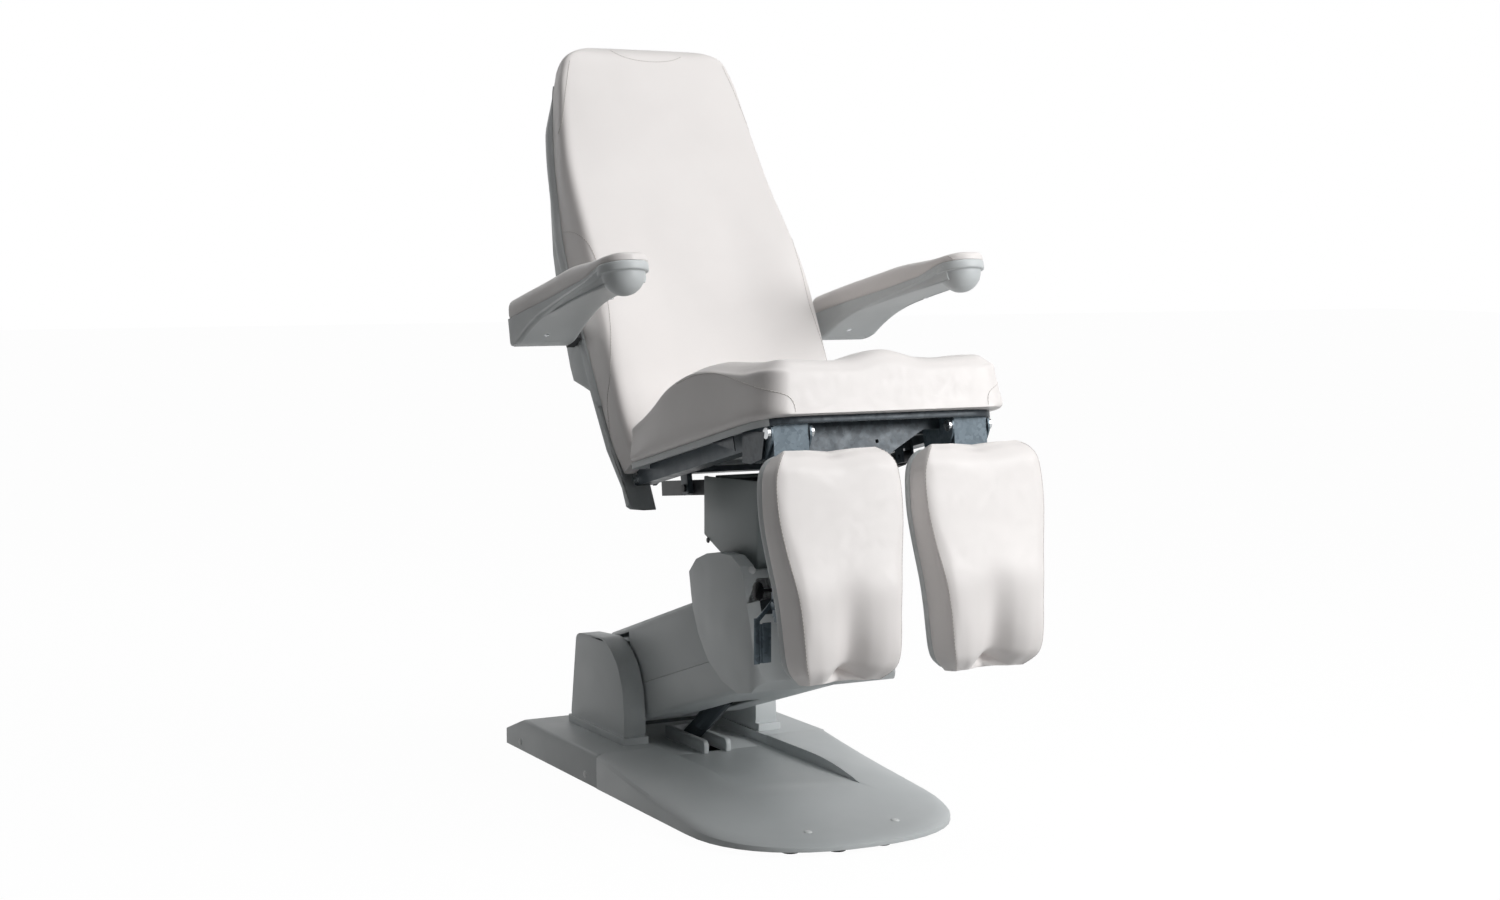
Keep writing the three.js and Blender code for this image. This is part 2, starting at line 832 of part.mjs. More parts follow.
// Welded frame that the covers hide: rails, cross members and two tall plates
const turretPlateRound = 40;
const liftEarRound = 12;
function makeBaseFrame() {
  const bottom = footHeight + footSink;
  const top = bottom + frameRailHeight;
  const rails = hands.map(([, side]) => {
    const inner = side * (frameRailX - frameRailWidth / 2);
    const outer = side * (frameRailX + frameRailWidth / 2);
    return block(Math.min(inner, outer), Math.max(inner, outer), -frameFrontReach, frameRearReach,
      bottom, top);
  });
  const reach = frameRailX + frameRailWidth / 2;
  const crossAt = [-frameFrontReach, -frameFrontReach / 2, frameMiddleY, frameRearReach - frameCrossDepth];
  const crosses = crossAt.map((y) => block(-reach, reach, y, y + frameCrossDepth, bottom, top));
  const plates = hands.map(([, side]) => {
    const x0 = Math.min(side * turretPlateX, side * (turretPlateX + turretPlateThickness));
    const foot = rounded([
      [turretPlateFront, bottom, 0], [turretPlateRear, bottom, 0],
      [turretPlateRear, turretPlateTop], [turretPlateFront, turretPlateTop],
    ], turretPlateRound, 3);
    return alongX(foot, x0, x0 + turretPlateThickness);
  });
  const ears = hands.map(([, side]) => {
    const inner = side * (liftNeckHalfWidth + runGap);
    const outer = side * (liftNeckHalfWidth + runGap + liftEarThickness);
    const ear = rounded([
      [liftFootY - liftEyeRadius, bottom, 0], [liftFootY + liftEyeRadius, bottom, 0],
      [liftFootY + liftEyeRadius, liftFootZ + liftEyeRadius],
      [liftFootY - liftEyeRadius, liftFootZ + liftEyeRadius],
    ], liftEarRound, 3);
    return alongX(ear, Math.min(inner, outer), Math.max(inner, outer));
  });
  const seatPlate = block(
    -reach, reach, liftFootY - liftEyeRadius - 2 * overrun, liftFootY + liftEyeRadius + 2 * overrun,
    bottom, bottom + liftFloorThickness,
  );
  const frontPlate = alongZ(rounded([
    [-framePlateHalf, -framePlateReach], [framePlateHalf, -framePlateReach],
    [framePlateHalf, -frameFrontReach + frameCrossDepth, 0],
    [-framePlateHalf, -frameFrontReach + frameCrossDepth, 0],
  ], framePlateHalf / 2, 3), bottom, bottom + framePlateThickness);
  const room = baseTop - coverWall - seatGap;
  const rearPosts = hands.flatMap(([, side]) => rearPostY.map((y) => block(
    side * frameRailX - postSize, side * frameRailX + postSize, y - postSize, y + postSize, bottom, room,
  )));
  const underTongue = tongueBody(coverWall + seatGap, 0, tongueHollowSteps).translate(0, overrun, 0);
  const frontPosts = hands.flatMap(([, side]) => frontPostY.map((y) => common(block(
    side * frameRailX - postSize, side * frameRailX + postSize, y - postSize, y + postSize, bottom, baseDeck,
  ), underTongue)));
  const earReach = liftNeckHalfWidth + runGap + liftEarThickness;
  const footPin = rodX(liftPinRadius, -earReach, earReach, liftFootY, liftFootZ);
  return cut(
    join(...rails, ...crosses, ...rearPosts, ...frontPosts, frontPlate, ...plates, seatPlate, ...ears,
      footPin),
    rodX(armShaftRadius + seatGap, -turretPlateTopX, turretPlateTopX, armPivotY, armPivotZ),
    rodX(linkPinRadius + seatGap, -turretPlateTopX, turretPlateTopX, armPivotY, armPivotZ + linkRise),
  );
}

// Rubber feet: a pad under the frame with a stud up into it
const footTaper = 0.94;
const footEdgeShare = 0.7;
function makeFoot(x, y) {
  const studTop = footHeight + footSink - seatGap;
  const profile = [
    [0, 0], [footRadius, 0], [footRadius * footTaper, footHeight * footEdgeShare],
    [footStudRadius, footHeight], [footStudRadius, studTop], [0, studTop],
  ];
  const lathe = new THREE.LatheGeometry(profile.map(([r, z]) => new THREE.Vector2(r, z)), roundSides);
  return lathe.rotateX(Math.PI / 2).translate(x, y, 0);
}

// Two rails round the slot in the channel floor where the actuator comes up
const bezelRound = 6;
const bezelNoseRound = 20;
function makeSlotBezel() {
  const outer = rounded([
    [-bezelHalfWidth, -bezelFront, 0], [-bezelInner, -bezelFront, 0],
    [-bezelInner, bezelRear - bezelRail, 0], [bezelInner, bezelRear - bezelRail, 0],
    [bezelInner, -bezelFront, 0], [bezelHalfWidth, -bezelFront, 0],
    [bezelHalfWidth, bezelRear, bezelRound], [-bezelHalfWidth, bezelRear, bezelRound],
  ], 0);
  const side = rounded([
    [-bezelFront, channelFloor + seatGap, 0], [bezelRear, channelFloor + seatGap, 0],
    [bezelRear, bezelTop, 0], [-bezelFront, bezelTop, bezelNoseRound],
  ], 0);
  return common(
    alongZ(outer, channelFloor + seatGap, bezelTop),
    alongX(side, -bezelHalfWidth, bezelHalfWidth),
  );
}

const standPieces = [
  ['base_frame', makeBaseFrame(), 'frameSteel'],
  ['front_base_cover', makeFrontCover(), 'plastic'],
  ['rear_base_cover', makeRearCover(), 'plastic'],
  ['turret_cover', makeTurretCover(), 'plastic'],
  ['slot_bezel', makeSlotBezel(), 'plastic'],
];
for (const [name, geometry, material] of standPieces) add(floorStand, name, geometry, material);
frontFootX.forEach((x, i) => add(floorStand, `front_foot_${i + 1}`, makeFoot(x, frontFootY[i]), 'rubber'));
for (const [hand, side] of hands) {
  add(floorStand, `rear_foot_${hand}`, makeFoot(side * rearFootX, rearFootY), 'rubber');
}
const armShaft = rodX(armShaftRadius, -armShaftHalfLength, armShaftHalfLength, armPivotY, armPivotZ);
const linkPin = rodX(linkPinRadius, -armShaftHalfLength, armShaftHalfLength, armPivotY, armPivotZ + linkRise);
add(floorStand, 'arm_pivot_shaft', armShaft, 'brightSteel');
add(floorStand, 'link_pivot_pin', linkPin, 'brightSteel');

// Arm: its own axes have the pivot at the origin, -Y along the arm, +Z square to it
const armLugRound = 14;
function makeArmBeam() {
  const tube = block(-beamHalfWidth, beamHalfWidth, -armReach, 0, -beamHalfHeight, beamHalfHeight);
  const bore = block(
    -beamHalfWidth + beamWall, beamHalfWidth - beamWall, -armReach, -beamBossRadius,
    -beamHalfHeight + beamWall, beamHalfHeight - beamWall,
  );
  const bosses = [0, -armReach].map((y) => rodX(
    beamBossRadius, -beamBossHalfLength, beamBossHalfLength, y, 0,
  ));
  const bores = [0, -armReach].map((y) => rodX(armShaftRadius + seatGap, -armHalfWidth, armHalfWidth, y, 0));
  const lugs = hands.map(([, side]) => {
    const inner = side * (liftEyeRadius + runGap);
    const outer = side * (liftEyeRadius + runGap + liftEarThickness);
    const lug = rounded([
      [-liftEyeForward + liftEyeRadius, -beamHalfHeight + beamWall / 2, 0],
      [-liftEyeForward - liftEyeRadius, -beamHalfHeight + beamWall / 2, 0],
      [-liftEyeForward - liftEyeRadius, liftEyeBelow - liftEyeRadius],
      [-liftEyeForward + liftEyeRadius, liftEyeBelow - liftEyeRadius],
    ], armLugRound, 3);
    return alongX(lug, Math.min(inner, outer), Math.max(inner, outer));
  });
  const eyePinReach = liftEyeRadius + runGap + overrun / 2;
  const eyePin = rodX(liftPinRadius, -eyePinReach, eyePinReach, -liftEyeForward, liftEyeBelow);
  const outriggerReach = armHalfWidth - armWall - seatGap;
  const outriggers = outriggerY.map((y) => cut(
    block(-outriggerReach, outriggerReach, y - outriggerHalf, y + outriggerHalf, -outriggerHalf,
      outriggerHalf),
    block(-beamHalfWidth + beamWall, beamHalfWidth - beamWall, y - beamHalfWidth, y + beamHalfWidth,
      -beamHalfHeight + beamWall, beamHalfHeight - beamWall),
  ));
  const drain = rodZ(linkPinRadius, 0, -armReach / 4, -beamHalfHeight - overrun, 0);
  return cut(join(cut(tube, bore, drain), ...outriggers, ...bosses, ...lugs, eyePin), ...bores);
}

// Side view of the two arm shells, rounded about the head pivot
function armSide(inset) {
  const top = armTopHeight - inset;
  const bottom = armBottomHeight + inset;
  const front = armReach - armBottomHeight - inset;
  return rounded([
    [-armBottomStart - inset, bottom, 0],
    [-front, bottom, armReach / 6],
    [-front, top, armReach / 6],
    [armRearReach - inset, top, 0],
    [armRearReach - inset, armRearStep, 0],
  ], 0, 6);
}

function armBody(inset) {
  const half = armHalfWidth - inset;
  const across = rounded([
    [-half, armBottomHeight + inset], [half, armBottomHeight + inset],
    [half, armTopHeight - inset], [-half, armTopHeight - inset],
  ], armEdgeRound - inset, 3);
  return common(alongX(armSide(inset), -half, half), alongY(across, -armReach - armHalfWidth, armHalfWidth));
}

function makeArmShell(upper) {
  const shell = cut(armBody(0), armBody(armWall));
  const far = armReach + armHalfWidth;
  const seam = armSeamHeight + (upper ? seatGap / 2 : -seatGap / 2);
  const keep = upper
    ? block(-armHalfWidth, armHalfWidth, -armTopReach, armHalfWidth, seam, armTopHeight)
    : block(-armHalfWidth, armHalfWidth, -far, armHalfWidth, armBottomHeight, seam);
  const window = block(
    -armHalfWidth - overrun, armHalfWidth + overrun,
    -armWindowReach, armHalfWidth, armWindowBottom, armWindowTop,
  );
  const strut = block(
    -armStrutHalfWidth, armStrutHalfWidth, -armStrutFar, -armStrutNear,
    armBottomHeight - overrun, armSeamHeight - overrun,
  );
  return cut(common(shell, keep), window, strut);
}

function makeLinkBar() {
  const bar = block(-linkHalfWidth, linkHalfWidth, -armReach, 0, -linkHalfHeight, linkHalfHeight);
  const ends = [0, -armReach];
  const eyes = ends.map((y) => rodX(linkEyeRadius, -linkHalfWidth, linkHalfWidth, y, 0));
  const bores = ends.map((y) => rodX(linkPinRadius + seatGap, -armHalfWidth, armHalfWidth, y, 0));
  return cut(join(bar, ...eyes), ...bores);
}

add(arm, 'arm_beam', makeArmBeam(), 'frameSteel');
add(arm, 'arm_upper_cover', makeArmShell(true), 'plastic');
add(arm, 'arm_lower_cover', makeArmShell(false), 'plastic');
const headShaft = rodX(armShaftRadius, -headShaftHalfLength, headShaftHalfLength, -armReach, 0);
add(arm, 'head_pivot_shaft', headShaft, 'brightSteel');
const link = turnedGroup(floorStand, armPivotY, armPivotZ + linkRise, armRise);
add(link, 'parallel_link_bar', makeLinkBar(), 'frameSteel');

// Lift actuator, in its own axes: foot pin at the origin, -Y up the strut
const riseCos = Math.cos(armRise * degrees);
const riseSin = Math.sin(armRise * degrees);
const eyeY = armPivotY - liftEyeForward * riseCos + liftEyeBelow * riseSin;
const eyeZ = armPivotZ + liftEyeForward * riseSin + liftEyeBelow * riseCos;
const strutAngle = Math.atan2(eyeZ - liftFootZ, liftFootY - eyeY) / degrees;
const strutLength = Math.hypot(eyeZ - liftFootZ, liftFootY - eyeY);
const strut = turnedGroup(floorStand, liftFootY, liftFootZ, strutAngle);

function makeLiftTube() {
  const neckHalf = liftNeckHalfHeight * neckShare;
  const neck = block(-liftNeckHalfWidth, liftNeckHalfWidth, -liftNeckLength, 0, -neckHalf, neckHalf);
  const eye = rodX(liftEyeRadius, -liftNeckHalfWidth, liftNeckHalfWidth, 0, 0);
  const tube = rodY(liftTubeRadius, 0, 0, -liftTubeEnd, -liftNeckLength + overrun);
  return cut(
    join(neck, eye, tube),
    rodX(liftPinRadius + seatGap, -bezelHalfWidth, bezelHalfWidth, 0, 0),
    rodY(liftRodRadius + seatGap, 0, 0, -liftTubeEnd - overrun, -liftTubeBoreStart),
  );
}

function makeLiftRod() {
  const rod = rodY(liftRodRadius, 0, 0, -strutLength, -liftTubeBoreStart - liftRodClearance);
  const eye = rodX(liftEyeRadius, -liftEyeRadius, liftEyeRadius, -strutLength, 0);
  const bore = rodX(liftPinRadius + liftPinClearance, -armHalfWidth, armHalfWidth, -strutLength, 0);
  return cut(join(rod, eye), bore);
}

add(strut, 'lift_actuator_tube', makeLiftTube(), 'frameSteel');
add(strut, 'lift_actuator_rod', makeLiftRod(), 'brightSteel');

// Head: stays level on the end of the arm; its axes are the chair's own
const headShares = [
  [0.08, 0.04], [0.27, 0], [0.5, 0.05], [0.71, 0.17], [0.86, 0.35], [0.94, 0.52],
  [0.97, 0.64], [1, 0.8], [0.89, 0.91], [0.73, 0.97], [0.56, 1], [0.36, 1], [0.23, 0.94],
  [0.18, 0.85], [0.14, 0.68], [0.09, 0.52], [0.05, 0.31], [0, 0.13],
];
function headSide(inset) {
  const height = headTop - headBottom;
  const length = headFront - headRear;
  const side = shared(headShares, length, height, -headFront, headBottom);
  const middle = [(-headFront - headRear) / 2, (headTop + headBottom) / 2];
  return side.map(([y, z]) => {
    const away = Math.hypot(y - middle[0], z - middle[1]);
    const keep = (away - inset) / away;
    return [middle[0] + (y - middle[0]) * keep, middle[1] + (z - middle[1]) * keep];
  });
}

function headBody(inset, half) {
  const corner = rounded([
    [-half, -headFront, headNoseRound], [half, -headFront, headNoseRound],
    [half, -headRear + overrun, 0], [-half, -headRear + overrun, 0],
  ], 0, 5);
  return common(alongX(headSide(inset), -half, half), alongZ(corner, headBottom, headTop));
}

function makeHeadCover() {
  const outer = headBody(0, headCheekOuter);
  const cavity = headBody(headShellWall, headCheekOuter - headShellWall);
  const wells = [
    [-headFrontWallRear, -headRear + 2 * overrun, headBottom - overrun, headLedgeBottom],
    [-headLedgeRear, -headRear + 2 * overrun, headLedgeBottom - overrun, headTop + overrun],
    [-headFront - overrun, -headLedgeRear + overrun, headLedgeTop, headTop + overrun],
  ].map((span) => block(-headCheekInner, headCheekInner, ...span));
  const wellWall = block(
    -headCheekInner - headShellWall, headCheekInner + headShellWall, -headFrontWallRear - headShellWall,
    -headRear + 2 * overrun, headBottom - overrun, headTop + overrun,
  );
  const vent = hands.map(([, side]) => block(
    side > 0 ? headCheekInner + headShellWall : -headCheekOuter + headShellWall,
    side > 0 ? headCheekOuter - headShellWall : -headCheekInner - headShellWall,
    -headFront + headNoseRound, -headRear - headNoseRound, headBottom - overrun, headVentTop,
  ));
  return cut(outer, cut(cavity, wellWall), ...wells, ...vent);
}

// Level bracket: two plates astride the arm's boss, a deck, and the post on it
const headPlateRound = 30;
function makeHeadBracket() {
  const deckTop = headDeckZ + headDeckThickness;
  const rear = headY + headPlateHalfDepth;
  const front = headY - headPlateHalfDepth;
  const plates = hands.map(([, side]) => {
    const x0 = Math.min(side * headPlateX, side * (headPlateX + headPlateThickness));
    const outline = rounded([
      [front, headZ - headPlateBottom], [rear, headZ - headPlateBottom],
      [rear, headDeckZ + overrun, 0], [front, headDeckZ + overrun, 0],
    ], headPlateRound, 3);
    return alongX(outline, x0, x0 + headPlateThickness);
  });
  const reach = headPlateX + headPlateThickness;
  const deckReach = headCheekInner - seatGap;
  const deck = block(-deckReach, deckReach, tiltActuatorY - 2 * actuatorEyeRadius, rear, headDeckZ, deckTop);
  const web = block(-reach, reach, front, front + headWebThickness, headZ + beamBossRadius + runGap, deckTop);
  const post = block(-postHalfWidth, postHalfWidth, -postFront, -postRear, headDeckZ, postTop);
  const bore = block(
    -postHalfWidth + postWall, postHalfWidth - postWall, -postFront + postWall, -postRear - postWall,
    deckTop, postTop + overrun,
  );
  const lugs = hands.map(([, side]) => {
    const inner = side * (actuatorEyeHalfWidth + seatGap);
    const outer = side * (actuatorEyeHalfWidth + seatGap + actuatorLugThickness);
    return tiltLug(Math.min(inner, outer), Math.max(inner, outer), deckTop - overrun / 2);
  });
  const sheave = rodX(linkPinRadius, -reach, reach, headY, headZ + linkRise);
  const cheeks = hands.map(([, side]) => {
    const inner = side * (linkHalfWidth + runGap);
    const outer = side * (linkHalfWidth + runGap + headWebThickness);
    return block(
      Math.min(inner, outer), Math.max(inner, outer), front, headY + linkPinRadius,
      headZ + linkRise - linkPinRadius, headDeckZ + overrun,
    );
  });
  const lugReach = actuatorEyeHalfWidth + seatGap + actuatorLugThickness;
  const footPin = rodX(
    actuatorPinRadius, -lugReach, lugReach, tiltActuatorY, tiltFootZ + deckLift, smallSides,
  );
  const body = join(cut(post, bore), deck, ...plates, web, ...lugs, ...cheeks, sheave, footPin);
  return cut(
    body,
    rodX(armShaftRadius + seatGap, -headCheekInner, headCheekInner, headY, headZ),
  );
}

// A lug plate that holds an actuator's pin above a deck
function tiltLug(x0, x1, floor) {
  const pinZ = tiltFootZ + deckLift;
  const outline = rounded([
    [tiltActuatorY - actuatorEyeRadius, floor, 0], [tiltActuatorY + actuatorEyeRadius, floor, 0],
    [tiltActuatorY + actuatorEyeRadius, pinZ + actuatorEyeRadius],
    [tiltActuatorY - actuatorEyeRadius, pinZ + actuatorEyeRadius],
  ], lugRound, 2);
  return alongX(outline, x0, x1);
}

// Dark shroud round the post; its hem slopes down to the front
const skirtEdgeRound = 6;
function makeSkirt() {
  const rear = -skirtRear;
  const front = -skirtFront;
  const side = (inset) => {
    const open = overrun * (inset > 0);
    return [
      [rear - inset, skirtHemRear - open], [rear - skirtHemStep, skirtHemMiddle - open],
      [front + inset, skirtHemFront - open], [front + inset, skirtTopFront + open],
      [rear - inset, skirtTopRear + open],
    ];
  };
  const plan = (inset) => rounded([
    [-skirtHalfWidth + inset, front + inset], [skirtHalfWidth - inset, front + inset],
    [skirtHalfWidth - inset, rear - inset], [-skirtHalfWidth + inset, rear - inset],
  ], skirtEdgeRound, 2);
  const body = (inset) => common(
    alongX(side(inset), -skirtHalfWidth + inset, skirtHalfWidth - inset),
    alongZ(plan(inset), skirtHemFront - overrun, skirtTopFront + overrun),
  );
  const barSlots = hands.map(([, s]) => block(
    s * tiltBarX - tiltBarHalfWidth - seatGap, s * tiltBarX + tiltBarHalfWidth + seatGap,
    rear - 2 * overrun, rear + overrun, tiltBarSlotBottom, skirtTopRear + overrun,
  ));
  return cut(body(0), body(skirtWall), ...barSlots);
}

// Two bars from the post back past the seat's tilt pivots, with a cross piece on the post
function makeTiltBars() {
  const length = postRear + tiltPivotY;
  const bars = hands.map(([, s]) => block(
    s * tiltBarX - tiltBarHalfWidth, s * tiltBarX + tiltBarHalfWidth,
    -length - overrun, tiltBarRearReach, -tiltBarHalfHeight, tiltBarHalfHeight,
  ));
  const yoke = block(
    -tiltBarX - tiltBarHalfWidth, tiltBarX + tiltBarHalfWidth,
    -length - overrun, -length + 2 * tiltBarHalfHeight, -tiltBarHalfHeight, tiltBarHalfHeight,
  );
  const postRoom = block(
    -tiltBarX, tiltBarX, -length - tiltBarX, -length + seatGap, -tiltBarX, tiltBarX,
  ).rotateX(tiltBarSlope * degrees);
  const pins = hands.map(([, s]) => {
    const inner = s * tiltBarX;
    const outer = s * (tiltLugOuter + overrun);
    return rodX(tiltPinRadius, Math.min(inner, outer), Math.max(inner, outer), 0, 0);
  });
  return cut(join(...bars, yoke, ...pins), postRoom);
}

add(carried, 'head_cover', makeHeadCover(), 'plastic');
add(carried, 'head_bracket', makeHeadBracket(), 'frameSteel');
add(carried, 'skirt_cover', makeSkirt(), 'darkPlastic');
const tiltBars = turnedGroup(carried, tiltPivotY, tiltPivotZ, tiltBarSlope);
add(tiltBars, 'tilt_bars', makeTiltBars(), 'blackPlastic');

// Small electric actuators, in their own axes: foot pin at the origin, -Y to the rod
const actuatorBoreStart = 3 * actuatorEyeRadius;
function makeActuatorTube(length) {
  const eye = rodX(actuatorEyeRadius, -actuatorEyeHalfWidth, actuatorEyeHalfWidth, 0, 0, smallSides);
  const neckEnd = -actuatorEyeRadius - runGap;
  const neck = block(
    -actuatorEyeHalfWidth, actuatorEyeHalfWidth, neckEnd - overrun, 0,
    -actuatorEyeHalfWidth, actuatorEyeHalfWidth,
  );
  const tube = rodY(actuatorTubeRadius, 0, 0, -length, neckEnd, smallSides);
  return cut(
    join(tube, neck, eye),
    rodX(actuatorPinRadius + seatGap, -postHalfWidth, postHalfWidth, 0, 0, smallSides),
    rodY(actuatorRodRadius + seatGap, 0, 0, -length - overrun, -actuatorBoreStart, smallSides),
  );
}

function makeActuatorRod(length, clearance) {
  const eye = rodX(actuatorEyeRadius, -actuatorEyeHalfWidth, actuatorEyeHalfWidth, -length, 0, smallSides);
  const rod = rodY(actuatorRodRadius, 0, 0, -length, -actuatorBoreStart - actuatorStroke, smallSides);
  const bore = rodX(actuatorPinRadius + clearance, -postHalfWidth, postHalfWidth, -length, 0, smallSides);
  return cut(join(rod, eye), bore);
}

// Seat frame, in the seat's own axes: back hinge at the origin, -Y forward, +Z square up
const seatTurn = seatTilt * degrees;
function seatForward(y, z) {
  return -(y - backHingeY) * Math.cos(seatTurn) + (z - backHingeZ) * Math.sin(seatTurn);
}
function seatUp(y, z) {
  return (y - backHingeY) * Math.sin(seatTurn) + (z - backHingeZ) * Math.cos(seatTurn);
}
const tiltForward = seatForward(tiltPivotY, tiltPivotZ);
const tiltUp = seatUp(tiltPivotY, tiltPivotZ);
const tiltTopForward = seatForward(tiltActuatorY, tiltTopZ);
const tiltTopUp = seatUp(tiltActuatorY, tiltTopZ);
const railRound = 8;

function makeSeatFrame() {
  const rails = hands.map(([, s]) => {
    const x0 = s * railX - railHalfWidth;
    const outline = rounded([
      [-railFront, railBottom + railNoseRise], [-railFront + railNoseLength, railBottom],
      [-railRear, railBottom, railNoseRise], [-railRear, railTop, railNoseRise], [-railFront, railTop, 0],
    ], railRound, 2);
    return alongX(outline, x0, x0 + 2 * railHalfWidth);
  });
  const lugs = hands.map(([, s]) => {
    const outline = rounded([
      [-tiltForward - lugHalfWidth, railTop - overrun, 0],
      [-tiltForward - lugHalfWidth, tiltUp - lugHalfWidth],
      [-tiltForward + lugHalfWidth, tiltUp - lugHalfWidth],
      [-tiltForward + lugHalfWidth, railTop - overrun, 0],
    ], lugRound, 2);
    const x0 = s > 0 ? tiltLugInner : -tiltLugOuter;
    return alongX(outline, x0, x0 + tiltLugOuter - tiltLugInner);
  });
  const crossPlaces = [crossRearForward, tiltTopForward, crossFrontForward];
  const crosses = crossPlaces.map((at) => block(
    -railX, railX, -at - crossHalfDepth, -at + crossHalfDepth, railTop - crossHeight, railTop,
  ));
  const tiltLugs = hands.map(([, s]) => {
    const inner = s * (actuatorEyeHalfWidth + seatGap);
    const outer = s * (actuatorEyeHalfWidth + seatGap + actuatorLugThickness);
    return block(
      Math.min(inner, outer), Math.max(inner, outer), -tiltTopForward - actuatorEyeRadius,
      -tiltTopForward + actuatorEyeRadius, tiltTopUp - actuatorEyeRadius, railTop - crossHeight / 2,
    );
  });
  const tiltTopPin = rodX(
    actuatorPinRadius, -actuatorEyeHalfWidth - 2 * overrun, actuatorEyeHalfWidth + 2 * overrun,
    -tiltTopForward, tiltTopUp, smallSides,
  );
  const bores = [
    rodX(tiltPinRadius + seatGap, -seatHalfWidth, seatHalfWidth, -tiltForward, tiltUp),
    rodX(hingeRadius + seatGap, -seatHalfWidth, seatHalfWidth, 0, 0),
  ];
  const backLugs = [-1, 1].map((s) => {
    const inner = backCrankX + s * (actuatorEyeHalfWidth + seatGap);
    const outer = backCrankX + s * (actuatorEyeHalfWidth + seatGap + actuatorLugThickness);
    return block(
      Math.min(inner, outer), Math.max(inner, outer), -backAnchorForward - actuatorEyeRadius,
      -backAnchorForward + actuatorEyeRadius, backAnchorUp - actuatorEyeRadius, railTop,
    );
  });
  const backCross = block(
    -railX, railX, -backAnchorForward - crossHalfDepth, -backAnchorForward + crossHalfDepth,
    railTop - crossHeight / 2, railTop,
  );
  const backPin = rodX(
    actuatorPinRadius, backCrankX - actuatorEyeHalfWidth - 2 * overrun + runGap,
    backCrankX + actuatorEyeHalfWidth + 2 * overrun - runGap, -backAnchorForward, backAnchorUp, smallSides,
  );
  return cut(
    join(...rails, ...lugs, ...crosses, ...tiltLugs, tiltTopPin, backCross, ...backLugs, backPin), ...bores,
  );
}

// Moulded board under the cushion, with a rim turned down all round
function seatPlan(half, rear, front, corner) {
  return rounded([
    [-half, -front, corner], [half, -front, corner], [half, -rear, rearCorner], [-half, -rear, rearCorner],
  ], corner, 6);
}

function makeSeatBoard() {
  const top = railTop + seatGap + boardThickness;
  const outer = alongZ(seatPlan(boardHalfWidth, boardRear, boardFront, boardCorner), top - boardRim, top);
  const under = alongZ(
    seatPlan(boardHalfWidth - boardWall, boardRear + boardWall, boardFront - boardWall,
      boardCorner - boardWall),
    top - boardRim - overrun, top - boardThickness,
  );
  const railRoom = hands.map(([, s]) => block(
    s * railX - railHalfWidth - seatGap, s * railX + railHalfWidth + seatGap, -railFront - overrun, 0,
    railTop - 2 * boardRim, railTop + seatGap,
  ));
  return cut(outer, under, ...railRoom);
}

// Cushion sections: the face keeps its height up to a start, then rolls over the
// edge; underneath the cover is tucked in a little and lies flat
function rolledEdge(side, start) {
  return side > start ? Math.sqrt(Math.max(0, 1 - ((side - start) / (1 - start)) ** 2)) : 1;
}
const tuckShares = [[0.985, 1], [0.96, 0], [0, 0], [-0.96, 0], [-0.985, 1]];

// Seat cushion: raised side bolsters that are highest over the thighs, a crown
// between them, and a front that rolls over
const bolsterShares = [[0, 0.42], [0.2, 0.5], [0.4, 0.8], [0.6, 1], [0.74, 0.99], [0.88, 0.76],
  [0.95, 0.56], [1, 0.3]];
const valleyShares = [[0, 0.42], [0.25, 0.42], [0.5, 0.52], [0.7, 0.66], [0.85, 0.64], [0.95, 0.5],
  [1, 0.28]];
const seatLengthShares = [0, 0.015, 0.05, 0.12, 0.22, 0.33, 0.44, 0.55, 0.66, 0.76, 0.85, 0.92,
  0.965, 0.99, 1];
const bolsterAt = following(bolsterShares);
const valleyAt = following(valleyShares);
function makeSeatCushion() {
  const rings = [];
  const bottom = railTop + 2 * seatGap + boardThickness;
  const across = seatCushionSteps;
  for (const share of seatLengthShares) {
    const fromEnd = Math.min(share, 1 - share) * (seatCushionFront - seatCushionRear);
    const corner = share > 0.5 ? seatFrontRound : seatRearRound;
    const pull = fromEnd < corner ? corner - Math.sqrt(corner ** 2 - (corner - fromEnd) ** 2) : 0;
    const half = seatHalfWidth - pull * seatCornerShare;
    const y = -(seatCushionRear + share * (seatCushionFront - seatCushionRear));
    const ring = [];
    for (let i = 0; i <= across; i += 1) {
      const u = -1 + (2 * i) / across;
      const side = Math.abs(u);
      const lift = valleyAt(share) + (bolsterAt(share) - valleyAt(share)) * bolsterShape(side);
      const keep = seatEdgeKeep + (1 - seatEdgeKeep) * rolledEdge(side, seatEdgeStart);
      ring.push([half * u, y, bottom + seatBolsterHeight * lift * keep]);
    }
    for (const [out, rise] of tuckShares) {
      ring.push([half * out, y, bottom + seatBolsterHeight * seatTuckRise * rise]);
    }
    rings.push(ring);
  }
  const body = skin(rings);
  const turn = (backRecline - seatTilt) * degrees;
  const keepOut = block(-seatHalfWidth - overrun, seatHalfWidth + overrun,
    -backCushionDepth - cushionGap, seatHalfWidth, -seatHalfWidth, seatHalfWidth);
  keepOut.applyMatrix4(new THREE.Matrix4().makeRotationX(-turn));
  return cut(body, keepOut);
}

// Bolsters swell from mid-width out; the middle keeps a low crown
const bolsterStart = 0.45;
const bolsterRun = 0.4;
const crownRise = 0.25;
const crownHalfShare = 0.35;
function bolsterShape(side) {
  const rise = Math.min(1, Math.max(0, (side - bolsterStart) / bolsterRun));
  const crown = crownRise * Math.max(0, 1 - (side / crownHalfShare) ** 2);
  return rise * rise * (3 - 2 * rise) + crown;
}

